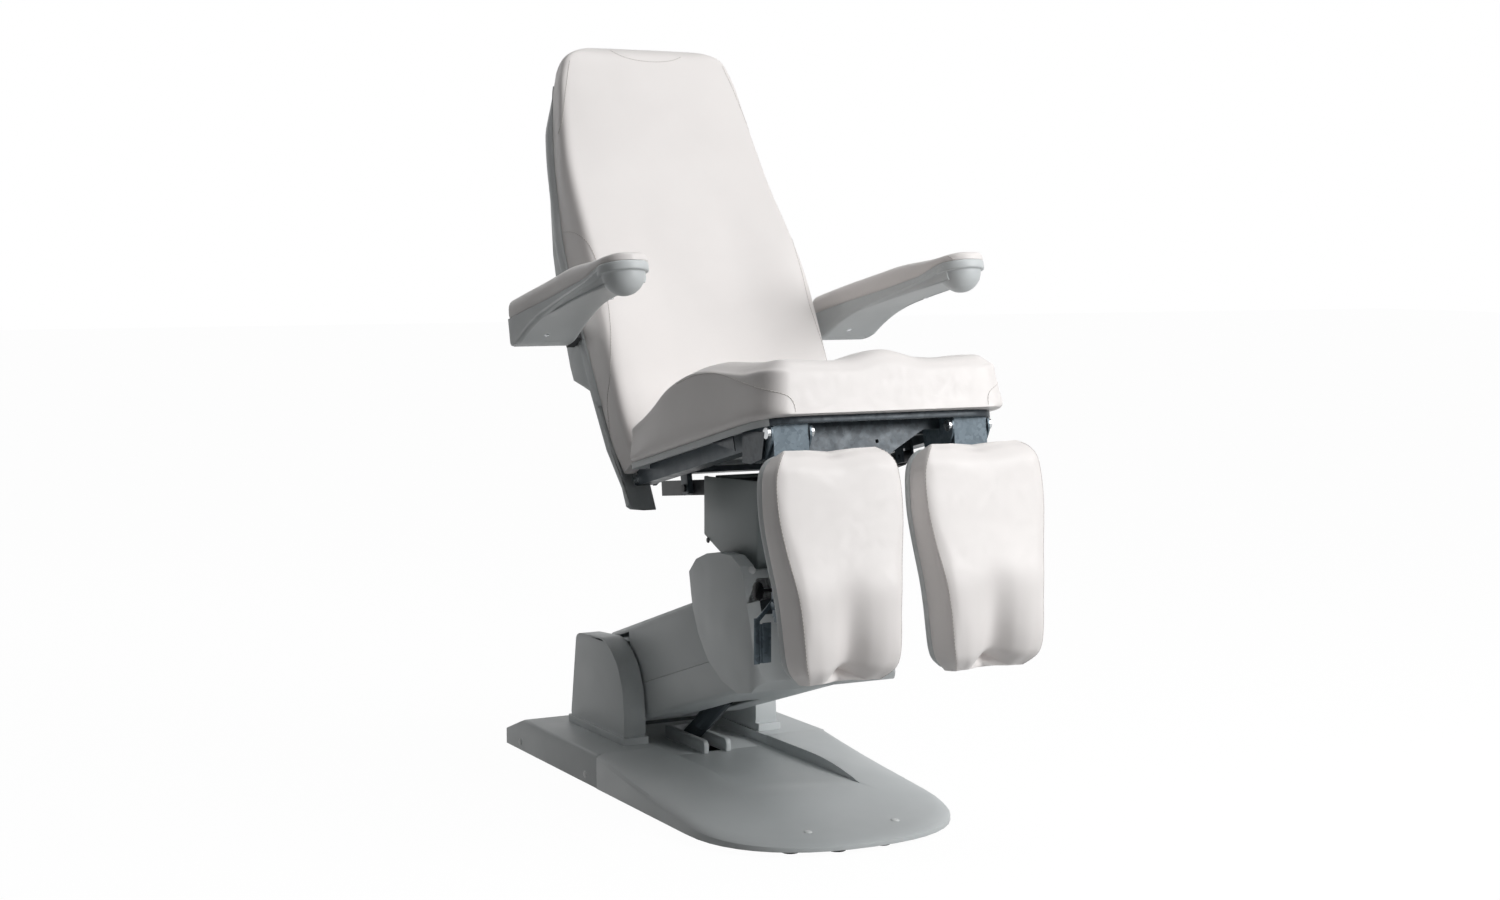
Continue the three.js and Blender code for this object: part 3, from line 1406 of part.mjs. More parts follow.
// Zinc plate between the leg brackets, its corner cut off at one end
const plateHoleShares = [0.6, 0.55];
function makeCrossPlate() {
  const top = railTop;
  const half = legCentreX - legChannelHalfWidth - runGap - legEarThickness - seatGap;
  const outline = [
    [-half, top], [-half, top - plateDrop], [plateCutInner, top - plateDrop],
    [half * plateCutShare, top - plateStep], [half, top - plateStep], [half, top],
  ];
  const y = -railFront - plateThickness - seatGap;
  const holes = [-half + plateHoleInset, plateHoleX].map((x, i) => rodY(
    plateHoleRadius, x, top - plateDrop * plateHoleShares[i], y - overrun, y + 2 * overrun, smallSides,
  ));
  return cut(alongY(outline, y, y + plateThickness), ...holes);
}

// Bracket that carries one leg hinge: two ears and the web between them
const earNoseRun = 1.5;
const earTopRound = 4;
const earFootRound = 2;
const earRound = 14;
function makeLegBearing(side) {
  const outline = rounded([
    [-legHingeForward - earNose, railTop - earTopDrop, earTopRound],
    [-legHingeForward - earNose, legHingeUp - earNose],
    [-legHingeForward + earNose * earNoseRun, legHingeUp - earDrop], [-earRear, legHingeUp - earDrop],
    [-earRear, railTop - seatGap, earFootRound], [-railFront, railTop - seatGap, earFootRound],
  ], earRound, 3);
  const inner = legCentreX - legChannelHalfWidth - runGap - legEarThickness;
  const outer = legCentreX + legChannelHalfWidth + runGap + legEarThickness;
  const ears = [[inner, inner + legEarThickness], [outer - legEarThickness, outer]]
    .map(([x0, x1]) => alongX(outline, x0, x1));
  const web = block(inner, outer, -railFront - legEarThickness - 2 * seatGap, -railFront - 2 * seatGap,
    legHingeUp - earDrop / 2, railTop - seatGap);
  const bore = rodX(hingeRadius + seatGap, 0, seatHalfWidth, -legHingeForward, legHingeUp);
  const railRoom = block(railX - railHalfWidth - seatGap, railX + railHalfWidth + seatGap,
    -railFront - seatGap, 0, railBottom - seatGap, seatHalfWidth);
  return acrossX(cut(join(...ears, web), bore, railRoom), side);
}

// Galvanised channel that swings on the leg hinge and carries the pad
function makeLegChannel() {
  const half = legChannelHalfWidth;
  const outer = block(-half, half, -legChannelFront, -legChannelRear, -legChannelLength, legChannelTop);
  const inner = block(
    -half + legChannelWall, half - legChannelWall,
    -legChannelFront + legChannelWall, -legChannelRear + overrun,
    -legChannelLength - overrun, legChannelTop + overrun,
  );
  const bore = rodX(hingeRadius + seatGap, -2 * half, 2 * half, 0, 0);
  return cut(outer, inner, bore);
}

function makeHingeBolt() {
  const half = legChannelHalfWidth + runGap + legEarThickness + seatGap;
  const shank = rodX(hingeRadius, -half - boltHead, half + boltHead, 0, 0, smallSides);
  const heads = hands.map(([, s]) => {
    const x0 = Math.min(s * half, s * (half + boltHead));
    return rodX(boltHeadRadius, x0, x0 + boltHead, 0, 0, smallSides);
  });
  return join(shank, ...heads);
}

// Slider behind the pad: a saddle that runs on the channel and is bolted to the shell
function makeLegSlider(side) {
  const half = legChannelHalfWidth + seatGap;
  const front = -legChannelFront - seatGap;
  const outer = block(-half - sliderWall, half + sliderWall, front - sliderFront, -legChannelRear,
    -sliderBottom, -sliderTop);
  const inner = block(-half, half, front, -legChannelRear + overrun, -sliderBottom - overrun,
    -sliderTop + overrun);
  const hole = rodX(clampRadius + seatGap, half - overrun, half + 2 * overrun, -clampForward, -clampDrop,
    smallSides);
  const studEnd = half + sliderWall + leverSheet + 2 * runGap;
  const stud = rodX(leverPin, half + sliderWall / 2, studEnd + boltHead / 2, -leverForward, -leverPivotDrop,
    smallSides);
  const head = rodX(
    leverPin * 2, studEnd, studEnd + boltHead / 2, -leverForward, -leverPivotDrop, smallSides,
  );
  return acrossX(join(cut(outer, inner, hole), stud, head), side);
}

// Pad outline: half-width and place of its centre line down the pad, as shares
const padHalfShares = [[0, 0.9], [0.04, 0.98], [0.12, 1], [0.45, 0.9], [0.8, 0.755], [0.95, 0.71], [1, 0.62]];
const padThickShares = [[0, 0.42], [0.03, 0.6], [0.12, 0.72], [0.4, 0.72], [0.7, 0.86], [0.92, 1], [1, 0.62]];
const padHalfAt = following(padHalfShares);
const padThickAt = following(padThickShares);
const legShellShares = [0, 0.02, 0.1, 0.3, 0.5, 0.7, 0.9, 0.98, 1];
const legCushionShares = [0, 0.012, 0.05, 0.13, 0.25, 0.37, 0.5, 0.62, 0.74, 0.84, 0.92, 0.965, 0.99, 1];
const groovePower = 1.5;
function padRings(wide, shares, section) {
  return shares.map((share) => section(share, wide * padHalfAt(share), legPadTop - share * legPadLength));
}

function makeLegShell() {
  const back = -legShellBack;
  const tray = (inset) => skin(padRings(padHalfWidth, legShellShares, (share, half, z) => {
    const atEnd = share === 0 || share === 1;
    const level = share < 0.5 ? z - inset * atEnd : z + inset * atEnd;
    const w = half - inset;
    const deep = legShellDepth * (atEnd ? legShellEndShare : 1) - inset;
    const front = back - legShellDepth - (inset > 0 ? overrun : 0);
    const rear = back - legShellDepth + deep;
    const flat = w * legShellFlatShare;
    const middle = back - deep / 2;
    return [
      [-w, front, level], [w, front, level], [w, middle, level],
      [flat, rear, level], [-flat, rear, level], [-w, middle, level],
    ];
  }));
  return cut(tray(0), tray(shellWall));
}

// Leg cushion: proud side ridges, a groove for the calf from the middle down,
// drawn-in sides and a dip in the top edge
function makeLegCushion() {
  const back = -legShellBack - legShellDepth - seatGap;
  const across = cushionSteps;
  const rings = padRings(padHalfWidth, legCushionShares, (share, half, z) => {
    const deep = padDepth * padThickAt(share);
    const sink = Math.min(1, Math.max(0, (share - grooveStartShare) / grooveRunShare));
    const groove = grooveDepth * sink ** groovePower;
    const ring = [];
    for (let i = 0; i <= across; i += 1) {
      const u = -1 + (2 * i) / across;
      const side = Math.abs(u);
      const keep = padEdgeKeep + (1 - padEdgeKeep) * rolledEdge(side, padEdgeStart);
      const valley = groove * Math.max(0, 1 - (side / grooveHalfShare) ** 2);
      const middle = Math.max(0, 1 - (side / dipHalfShare) ** 2);
      const atEnd = (Math.abs(share - 0.5) * 2) ** dipSharpness;
      const dip = (share < 0.5 ? -topDip : bottomNotch) * middle * atEnd;
      ring.push([half * u, back - (deep - valley) * keep, z + dip]);
    }
    for (const [out, rise] of tuckShares) ring.push([half * out, back - deep * cushionTuckDepth * rise, z]);
    return ring;
  });
  return skin(rings);
}

// Clamp knob, its stem through the slider's side
const fluteSetShare = 1.12;
const fluteSides = 8;
const knobShares = [[0.75, 0], [0.95, 0.15], [1, 0.6], [0.85, 0.95], [0.7, 1]];
function makeClampKnob(side) {
  const profile = [
    [0, 0], [clampRadius, 0], [clampRadius, clampStem],
    ...knobShares.map(([out, along]) => [knobRadius * out, clampStem + knobLength * along]),
    [0, clampStem + knobLength],
  ];
  const lathe = new THREE.LatheGeometry(profile.map(([r, x]) => new THREE.Vector2(r, x)), roundSides);
  lathe.rotateZ(-Math.PI / 2);
  const flutes = [];
  for (let i = 0; i < knobFlutes; i += 1) {
    const angle = (2 * Math.PI * i) / knobFlutes;
    flutes.push(rodX(
      fluteRadius, clampStem - overrun, clampStem + knobLength + overrun,
      knobRadius * fluteSetShare * Math.cos(angle), knobRadius * fluteSetShare * Math.sin(angle), fluteSides,
    ));
  }
  const knob = cut(lathe, ...flutes).translate(legChannelHalfWidth + seatGap, -clampForward, -clampDrop);
  return acrossX(knob, side);
}

// Release lever: an angled strap and a folded paddle to squeeze
const leverRound = 6;
const foldShare = 0.94;
const strapEyeShares = [[-0.8, -0.4], [0.6, 0.5]];
function makeReleaseLever(side) {
  const x0 = legChannelHalfWidth + seatGap + sliderWall + runGap;
  const eye = rodX(leverEye, x0, x0 + leverSheet, 0, 0, smallSides);
  const strap = alongX([
    ...strapEyeShares.map(([along, up]) => [leverEye * along, leverEye * up]),
    [leverReach + leverEye, -leverDrop + leverEye], [leverReach - leverEye / 2, -leverDrop],
  ], x0, x0 + leverSheet);
  const leaf = alongX(rounded([
    [leverReach - leverEye, -leverDrop + leverEye], [leverReach - leverEye, -leverDrop - paddleLength],
    [leverReach + paddleWidth, -leverDrop - paddleLength], [leverReach + paddleWidth, -leverDrop + leverEye],
  ], leverRound, 2), x0, x0 + leverSheet);
  const fold = block(
    x0, x0 + paddleWidth, leverReach - leverEye, leverReach - leverEye + leverSheet,
    -leverDrop - paddleLength * foldShare, -leverDrop,
  );
  const bore = rodX(leverPin + seatGap, x0 - overrun, x0 + 2 * overrun, 0, 0, smallSides);
  const lever = cut(join(eye, strap, leaf, fold), bore).translate(0, -leverForward, -leverPivotDrop);
  return acrossX(lever, side);
}

add(seat, 'seat_frame', makeSeatFrame(), 'frameSteel');
add(seat, 'seat_board', makeSeatBoard(), 'plastic');
add(seat, 'seat_cushion', makeSeatCushion(), 'upholstery');
add(seat, 'front_cross_plate', makeCrossPlate(), 'frameSteel');
for (const [hand, side] of hands) {
  add(seat, `leg_bearing_${hand}`, makeLegBearing(side), 'frameSteel');
  const hinge = new THREE.Group();
  hinge.position.set(side * legCentreX, -legHingeForward, legHingeUp);
  hinge.rotation.x = (seatTilt - legTilt) * degrees;
  seat.add(hinge);
  const pad = new THREE.Group();
  pad.position.x = side * (legPadCentreX - legCentreX);
  hinge.add(pad);
  add(hinge, `leg_hinge_bolt_${hand}`, makeHingeBolt(), 'brightSteel');
  add(hinge, `leg_channel_${hand}`, makeLegChannel(), 'brightSteel');
  add(hinge, `leg_slider_${hand}`, makeLegSlider(side), 'frameSteel');
  add(hinge, `clamp_knob_${hand}`, makeClampKnob(side), 'blackPlastic');
  add(hinge, `release_lever_${hand}`, makeReleaseLever(side), 'frameSteel');
  add(pad, `leg_shell_${hand}`, makeLegShell(), 'plastic');
  add(pad, `leg_cushion_${hand}`, makeLegCushion(), 'upholstery');
}

// Back, in its own axes: hinge at the origin, +Z up the back, -Y out of its face
const backHalfShares = [[0, 0.92], [0.05, 0.965], [0.19, 0.995], [0.33, 1], [0.54, 0.975], [0.67, 0.92],
  [0.785, 0.84], [0.875, 0.775], [0.94, 0.715], [0.975, 0.63], [1, 0.42]];
const backHalfAt = following(backHalfShares);
const shellMiddleShares = [[0, 0.4], [0.2, 0.43], [0.25, 0.46], [0.3, 0.95], [0.33, 1], [0.56, 0.7],
  [0.71, 0.46], [1, 0.3]];
const shellSideShares = [[0, 0.16], [0.2, 0.16], [0.25, 0.17], [0.27, 0.42], [0.293, 0.74], [0.328, 0.78],
  [0.557, 0.46], [0.632, 0.33], [0.708, 0.24], [1, 0.18]];
const shellMiddleAt = following(shellMiddleShares);
const shellSideAt = following(shellSideShares);
const backShellShares = [0, 0.04, 0.12, 0.25, 0.27, 0.3, 0.33, 0.45, 0.57, 0.7, 0.82, 0.91, 0.96, 0.99, 1];
const backCushionShares = [0, 0.01, 0.04, 0.1, 0.18, 0.28, 0.4, 0.52, 0.64, 0.75, 0.84, 0.91, 0.955,
  0.985, 1];

// Armrest pivot, seen in the back's axes
const backTurn = (backRecline - seatTilt) * degrees;
const pivotAlong = armrestPivotUp * Math.cos(backTurn) - armrestPivotForward * Math.sin(backTurn);
const pivotAcross = -armrestPivotForward * Math.cos(backTurn) - armrestPivotUp * Math.sin(backTurn);

function makeBackShell() {
  const body = (inset) => skin(backShellShares.map((share) => {
    const s = -shellLip + share * (backLength + shellLip - shellTopMargin) - (share === 1 ? inset : 0);
    const w = backHalfWidth * backHalfAt(Math.max(0, s / backLength)) - inset;
    const deep = shellDepth * shellMiddleAt(share) - inset;
    const edge = shellDepth * shellSideAt(share) - inset;
    const flank = edge + (deep - edge) * shellFlankShare;
    const face = shellFaceGap - (inset > 0 ? overrun : 0);
    const foot = share === 0 && inset > 0 ? -overrun : 0;
    return [
      [-w, face, s + foot], [w, face, s + foot], [w, edge, s + foot], [w * shellFlankX, flank, s + foot],
      [w * shellFlatX, deep, s + foot], [0, deep * shellCrown, s + foot], [-w * shellFlatX, deep, s + foot],
      [-w * shellFlankX, flank, s + foot], [-w, edge, s + foot],
    ];
  }));
  const gap = block(-shellGapHalf, shellGapHalf, -overrun, shellDepth * 2, -shellLip - overrun, shellGapTop);
  const bracketSlots = hands.map(([, s]) => block(
    s * backHalfWidth - backHalfWidth / 4, s * backHalfWidth + backHalfWidth / 4,
    -overrun, bracketDepth + bracketHalf + seatGap,
    pivotAlong - bracketHalf - seatGap, pivotAlong + bracketHalf + seatGap,
  ));
  return cut(body(0), body(backShellWall), gap, ...bracketSlots);
}

function makeBackFrame() {
  const tubes = hands.map(([, s]) => block(
    s * backTubeX - backTubeHalf, s * backTubeX + backTubeHalf, backTubeFront, backTubeRear,
    backTubeFoot, backTubeTop,
  ));
  const ears = hands.map(([, s]) => {
    const x0 = s * backEarX - backEarThickness / 2;
    return alongX(rounded([
      [-backEarHalf, -backEarHalf], [backEarHalf, -backEarHalf], [backTubeRear, backEarTop],
      [backTubeFront, backEarTop, 0], [backEarWaist, backEarBend], [-backEarHalf, backEarHalf - seatGap],
    ], backEarRound, 3), x0, x0 + backEarThickness);
  });
  const crosses = backCrossAt.map((s) => block(
    -backTubeX, backTubeX, backTubeFront, backTubeRear, s, s + 2 * backTubeHalf,
  ));
  const crankFoot = -backCrankForward;
  const cranks = [-1, 1].map((s) => {
    const inner = backCrankX + s * (actuatorEyeHalfWidth + seatGap);
    const outer = backCrankX + s * (actuatorEyeHalfWidth + seatGap + actuatorLugThickness);
    return block(
      Math.min(inner, outer), Math.max(inner, outer), crankFoot - actuatorEyeRadius,
      crankFoot + actuatorEyeRadius, -backCrankDrop - actuatorEyeRadius, crankTop,
    );
  });
  const pin = rodX(
    actuatorPinRadius, backCrankX - actuatorEyeHalfWidth - 2 * overrun + runGap,
    backCrankX + actuatorEyeHalfWidth + 2 * overrun - runGap, crankFoot, -backCrankDrop, smallSides,
  );
  const tie = block(
    backCrankX - actuatorEyeHalfWidth - seatGap - actuatorLugThickness, backTubeX, backTubeFront,
    backTubeRear, backTubeFoot, crankTieTop,
  );
  const bores = rodX(hingeRadius + seatGap, -seatHalfWidth, seatHalfWidth, 0, 0);
  return cut(join(...tubes, ...ears, ...crosses, ...cranks, tie, pin), bores);
}

function makeBackHingePin(side) {
  const inner = side * (backEarX - backEarThickness / 2 - overrun);
  const outer = side * (railX + railHalfWidth + boltHead);
  const shank = rodX(hingeRadius, Math.min(inner, outer), Math.max(inner, outer), 0, 0, smallSides);
  const headInner = outer - side * (boltHead - seatGap);
  const head = rodX(
    boltHeadRadius, Math.min(outer, headInner), Math.max(outer, headInner), 0, 0, smallSides,
  );
  return join(shank, head);
}

// Back cushion: flat rear, full face with raised lower sides, drawn in at the head
function makeBackCushion() {
  const across = cushionSteps;
  const body = skin(backCushionShares.map((share) => {
    const s = backCushionFoot + share * (backLength - backCushionFoot);
    const half = backHalfWidth * backHalfAt(s / backLength) - backCushionInset;
    const end = Math.min(1, (Math.min(share, 1 - share) + backEndLead) * backEndSharpness);
    const deep = backCushionDepth * (backEdgeKeep + (1 - backEdgeKeep) * Math.sqrt(end * (2 - end)));
    const wing = backWing * Math.max(0, Math.sin(Math.min(1, share / backWingShare) * Math.PI));
    const ring = [];
    for (let i = 0; i <= across; i += 1) {
      const u = -1 + (2 * i) / across;
      const side = Math.abs(u);
      const keep = backEdgeKeep + (1 - backEdgeKeep) * rolledEdge(side, backEdgeStart);
      const swell = wing * Math.max(0, Math.min(1, (side - wingStart) / wingRun));
      ring.push([half * u, -(deep + swell) * keep, s]);
    }
    for (const [out, rise] of tuckShares) ring.push([half * out, -deep * cushionTuckDepth * rise, s]);
    return ring;
  }));
  const railRoom = block(
    -seatHalfWidth, seatHalfWidth, -legHingeForward, -railRear + 2 * overrun,
    -seatHalfWidth, railTop + overrun,
  );
  return cut(body, railRoom.rotateX(backTurn));
}

add(back, 'back_frame', makeBackFrame(), 'frameSteel');
add(back, 'back_shell', makeBackShell(), 'plastic');
add(back, 'back_cushion', makeBackCushion(), 'upholstery');
for (const [hand, side] of hands) add(seat, `back_hinge_pin_${hand}`, makeBackHingePin(side), 'brightSteel');

// The two small actuators, each from its foot pin towards its far pin
function addActuator(parent, names, foot, far, x, tubeLength, clearance) {
  const rise = Math.atan2(far[1] - foot[1], foot[0] - far[0]) / degrees;
  const length = Math.hypot(far[1] - foot[1], foot[0] - far[0]);
  const axis = turnedGroup(parent, foot[0], foot[1], rise);
  axis.position.x = x;
  add(axis, names[0], makeActuatorTube(tubeLength), 'blackPlastic');
  add(axis, names[1], makeActuatorRod(length, clearance), 'brightSteel');
}
addActuator(
  carried, ['tilt_actuator_tube', 'tilt_actuator_rod'],
  [tiltActuatorY, tiltFootZ + deckLift], [tiltActuatorY, tiltTopZ], 0, tiltTubeLength, tiltEyeClearance,
);
const crankAcross = -backCrankForward;
addActuator(
  seat, ['back_actuator_tube', 'back_actuator_rod'], [-backAnchorForward, backAnchorUp],
  [
    crankAcross * Math.cos(backTurn) - backCrankDrop * Math.sin(backTurn),
    -crankAcross * Math.sin(backTurn) - backCrankDrop * Math.cos(backTurn),
  ], backCrankX, backTubeLength, backEyeClearance,
);

// Armrests, in the seat's axes with the pivot at the origin
function armrestRing(share, grow, low, high) {
  const centre = armrestRearX + (armrestFrontX - armrestRearX) * armrestCentreAt(share);
  const half = armrestRearHalf + (armrestFrontHalf - armrestRearHalf) * armrestWidthAt(share) + grow;
  const y = armrestTail - share * armrestLength;
  const ring = [];
  for (let i = 0; i < armrestSides; i += 1) {
    const angle = (2 * Math.PI * (i + 0.5)) / armrestSides;
    const c = Math.cos(angle);
    const d = Math.sin(angle);
    const x = centre + half * Math.sign(c) * Math.abs(c) ** armrestRound;
    ring.push([x, y, (low + high) / 2 + ((high - low) / 2) * Math.sign(d) * Math.abs(d) ** armrestRound]);
  }
  return ring;
}
const armrestCentreShares = [[0, 0], [0.3, 0.2], [0.6, 0.75], [1, 1]];
const armrestWidthShares = [[0, 0], [0.2, 0.15], [0.5, 0.8], [0.8, 1], [1, 1]];
const armrestBottomShares = [[0, 0], [0.085, 0.03], [0.16, 0.48], [0.23, 0.77], [0.345, 1], [1, 1]];
const armrestShellShares = [0, 0.01, 0.05, 0.1, 0.16, 0.23, 0.345, 0.55, 0.75, armrestBodyShare];
const armrestPadShares = [0, 0.01, 0.04, 0.12, 0.35, 0.6, 0.8, 0.9, 0.93, 0.955, 0.975, 0.99, 0.998];
const armrestCentreAt = following(armrestCentreShares);
const armrestWidthAt = following(armrestWidthShares);
const armrestBottomAt = following(armrestBottomShares);
const armrestEndLead = 0.01;
const armrestEndSharpness = 14;
const armrestEndKeep = 0.45;
const armrestFrontKeep = 0.62;
const armrestEndY = armrestTail - armrestLength + armrestRimRadius;

function makeArmrestShell(side) {
  const shell = skin(armrestShellShares.map((share) => {
    const bottom = armrestBottom + armrestWaist * armrestBottomAt(share);
    return armrestRing(share, share === 0 ? -armrestEase : 0, bottom, armrestSplit);
  }));
  const rim = rodZ(armrestRimRadius, armrestFrontX, armrestEndY, armrestRimBottom, armrestRimTop);
  const sphere = new THREE.SphereGeometry(armrestBallRadius, roundSides, roundSides / 2)
    .translate(armrestFrontX, armrestEndY, armrestRimBottom);
  const lowerHalf = block(0, seatHalfWidth * 2, -armrestLength * 2, armrestLength, -armrestLength,
    armrestRimBottom + overrun);
  const ball = common(sphere, lowerHalf);
  const top = block(0, seatHalfWidth * 2, -armrestLength * 2, armrestLength, armrestSplit - armrestLap,
    armrestSplit + overrun);
  const bore = rodX(armrestPinRadius + seatGap, 0, armrestPinOuter + seatGap, 0, 0, smallSides);
  return acrossX(join(cut(shell, top, bore), rim, ball), side);
}

function makeArmrestPad(side) {
  const turn = armrestRimRadius / armrestLength;
  const pad = skin(armrestPadShares.map((share) => {
    const end = Math.min(1, (share + armrestEndLead) * armrestEndSharpness);
    const soft = Math.sqrt(end * (2 - end));
    const ahead = Math.max(0, (share - 1 + turn) / turn);
    const plan = Math.sqrt(1 - ahead * ahead);
    const dome = armrestPadTop - armrestSplit;
    const atEnd = armrestEndKeep + (1 - armrestEndKeep) * soft;
    const atFront = armrestFrontKeep + (1 - armrestFrontKeep) * plan;
    const high = armrestSplit + dome * atEnd * atFront;
    const draw = (1 - soft) * armrestEase + (1 - plan) * armrestFrontHalf;
    return armrestRing(share, -armrestInset - draw, 2 * armrestSplit - high, high);
  }));
  const under = block(0, seatHalfWidth * 2, -armrestLength * 2, armrestLength, -armrestLength,
    armrestSplit - armrestLap + seatGap);
  const rimRoom = rodZ(armrestRimRadius + seatGap, armrestFrontX, armrestEndY, armrestRimBottom,
    armrestRimTop + seatGap);
  return acrossX(cut(pad, under, rimRoom), side);
}

// Bracket from the back's frame, out through the shell, to the armrest pivot
const bracketPlateShare = 1.5;
function makeArmrestBracket(side) {
  const bar = block(
    backTubeX + backTubeHalf + seatGap, bracketOuter, bracketFace, bracketDepth + bracketHalf,
    pivotAlong - bracketHalf, pivotAlong + bracketHalf,
  );
  const plateHalf = bracketHalf * bracketPlateShare;
  const plate = block(
    bracketOuter - bracketPlate, bracketOuter, pivotAcross - plateHalf, bracketDepth + bracketHalf,
    pivotAlong - plateHalf, pivotAlong + plateHalf,
  );
  const pin = rodX(armrestPinRadius, bracketOuter - overrun, armrestPinOuter, pivotAcross, pivotAlong,
    smallSides);
  return acrossX(join(bar, plate, pin), side);
}

for (const [hand, side] of hands) {
  const swing = new THREE.Group();
  swing.position.set(0, -armrestPivotForward, armrestPivotUp);
  seat.add(swing);
  add(swing, `armrest_shell_${hand}`, makeArmrestShell(side), 'plastic');
  add(swing, `armrest_pad_${hand}`, makeArmrestPad(side), 'upholstery');
  add(back, `armrest_bracket_${hand}`, makeArmrestBracket(side), 'blackPlastic');
}

// The whole chair moves so that the middle of its footprint is the origin
chair.updateMatrixWorld(true);
const bounds = new THREE.Box3().setFromObject(chair, true);
chair.position.y = -(bounds.min.y + bounds.max.y) / 2;
chair.position.z = -bounds.min.z;
chair.updateMatrixWorld(true);
export default chair;
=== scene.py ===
import math

import bmesh
import bpy
from mathutils import Matrix, Vector
from mathutils.bvhtree import BVHTree


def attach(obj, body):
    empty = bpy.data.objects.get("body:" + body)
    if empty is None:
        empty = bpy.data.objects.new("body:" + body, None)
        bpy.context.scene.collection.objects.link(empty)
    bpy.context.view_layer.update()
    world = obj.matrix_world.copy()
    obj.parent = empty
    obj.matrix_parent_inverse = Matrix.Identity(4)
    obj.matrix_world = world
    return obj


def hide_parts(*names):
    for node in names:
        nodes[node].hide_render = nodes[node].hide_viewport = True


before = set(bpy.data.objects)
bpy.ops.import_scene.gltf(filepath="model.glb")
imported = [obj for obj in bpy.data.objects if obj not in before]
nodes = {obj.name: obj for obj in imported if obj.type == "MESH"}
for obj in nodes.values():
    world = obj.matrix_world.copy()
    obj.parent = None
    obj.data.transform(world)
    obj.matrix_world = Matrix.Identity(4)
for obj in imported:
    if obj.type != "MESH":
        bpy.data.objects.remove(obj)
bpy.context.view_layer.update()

scene = bpy.context.scene
scene.view_settings.view_transform = "Standard"

# Viewpoint, light and floor: a plain white room with a broad lamp at the front right,
# one above and a weak one behind, and a pale floor that keeps a soft shadow.
seam_to_middle = 0.17209
focal_pixels, centre_across, centre_down = 2275.74, 750, 450
camera_turn = math.radians(27.8705)
camera_dip = math.radians(5.0241)
camera_place = (-2.2192, -4.3667 + seam_to_middle, 1.1546)
camera_data = bpy.data.cameras.new("camera")
camera_data.sensor_width = 36
camera_data.lens = 54.618
camera_data.clip_end = 60


def placed(name, data):
    piece = bpy.data.objects.new(name, data)
    scene.collection.objects.link(piece)
    return piece


camera = placed("camera", camera_data)
camera.location = camera_place
camera.rotation_euler = (math.pi / 2 - camera_dip, 0, -camera_turn)
scene.camera = camera


def soft_lamp(name, place, aim, size, power):
    data = bpy.data.lights.new(name, "AREA")
    data.shape = "RECTANGLE"
    data.size, data.size_y = size
    data.energy = power
    lamp = placed(name, data)
    lamp.location = place
    lamp.rotation_euler = (Vector(aim) - Vector(place)).to_track_quat("-Z", "Y").to_euler()


def given(node, values):
    for label, value in values.items():
        node.inputs[label].default_value = value


def seen_directly(tree):
    rays = tree.nodes.new("ShaderNodeLightPath")
    share = rays.outputs["Is Camera Ray"]
    for kind in ("Is Glossy Ray", "Is Transmission Ray"):
        either = tree.nodes.new("ShaderNodeMath")
        either.operation = "MAXIMUM"
        tree.links.new(share, either.inputs[0])
        tree.links.new(rays.outputs[kind], either.inputs[1])
        share = either.outputs[0]
    return share


soft_lamp("lamp_front_right", (2.2, -3.4, 2.2), (0, 0, 0.9), (2.0, 1.6), 114)
soft_lamp("lamp_above", (0.5, -1.2, 4.2), (0, 0, 0.6), (2.4, 2.4), 50)
soft_lamp("lamp_behind", (-1.6, 3.6, 2.4), (0, 0, 0.8), (2.0, 2.0), 10)

world = bpy.data.worlds.new("white_room")
world.use_nodes = True
scene.world = world
white = (1, 1, 1, 1)
sky = world.node_tree
lit_sky = sky.nodes["Background"]
given(lit_sky, {"Color": white, "Strength": 0.04})
seen_sky = sky.nodes.new("ShaderNodeBackground")
given(seen_sky, {"Color": white})
sky_mix = sky.nodes.new("ShaderNodeMixShader")
sky.links.new(seen_directly(sky), sky_mix.inputs["Fac"])
sky.links.new(lit_sky.outputs[0], sky_mix.inputs[1])
sky.links.new(seen_sky.outputs[0], sky_mix.inputs[2])
sky.links.new(sky_mix.outputs[0], sky.nodes["World Output"].inputs["Surface"])

floor_mesh = bpy.data.meshes.new("floor")
floor_reach = 30
floor_corners = [(x * floor_reach, y * floor_reach, 0)
                 for x, y in ((-1, -1), (1, -1), (1, 1), (-1, 1))]
floor_mesh.from_pydata(floor_corners, [], [(0, 1, 2, 3)])
floor = placed("floor", floor_mesh)
floor_finish = bpy.data.materials.new("pale_floor")
floor_finish.use_nodes = True
tree = floor_finish.node_tree
matt = tree.nodes["Principled BSDF"]
given(matt, {"Base Color": (0.45, 0.45, 0.45, 1), "Roughness": 0.9})
glow = tree.nodes.new("ShaderNodeEmission")
given(glow, {"Strength": 1.06})
share = tree.nodes.new("ShaderNodeMath")
share.operation = "MULTIPLY"
share.inputs[1].default_value = 0.92
mix = tree.nodes.new("ShaderNodeMixShader")
tree.links.new(seen_directly(tree), share.inputs[0])
tree.links.new(share.outputs[0], mix.inputs["Fac"])
tree.links.new(matt.outputs[0], mix.inputs[1])
tree.links.new(glow.outputs[0], mix.inputs[2])
tree.links.new(mix.outputs[0], tree.nodes["Material Output"].inputs["Surface"])
floor_mesh.materials.append(floor_finish)


# Rubber feet under the base: black moulded pads, each with a stud up into the frame.
# They stay as the frame of the model has them and only get their rubber.
def linear(red, green, blue):
    def channel(value):
        value = value / 255
        return value / 12.92 if value <= 0.04045 else ((value + 0.055) / 1.055) ** 2.4
    return (channel(red), channel(green), channel(blue), 1)


def shader_of(finish):
    return finish.node_tree.nodes["Principled BSDF"]


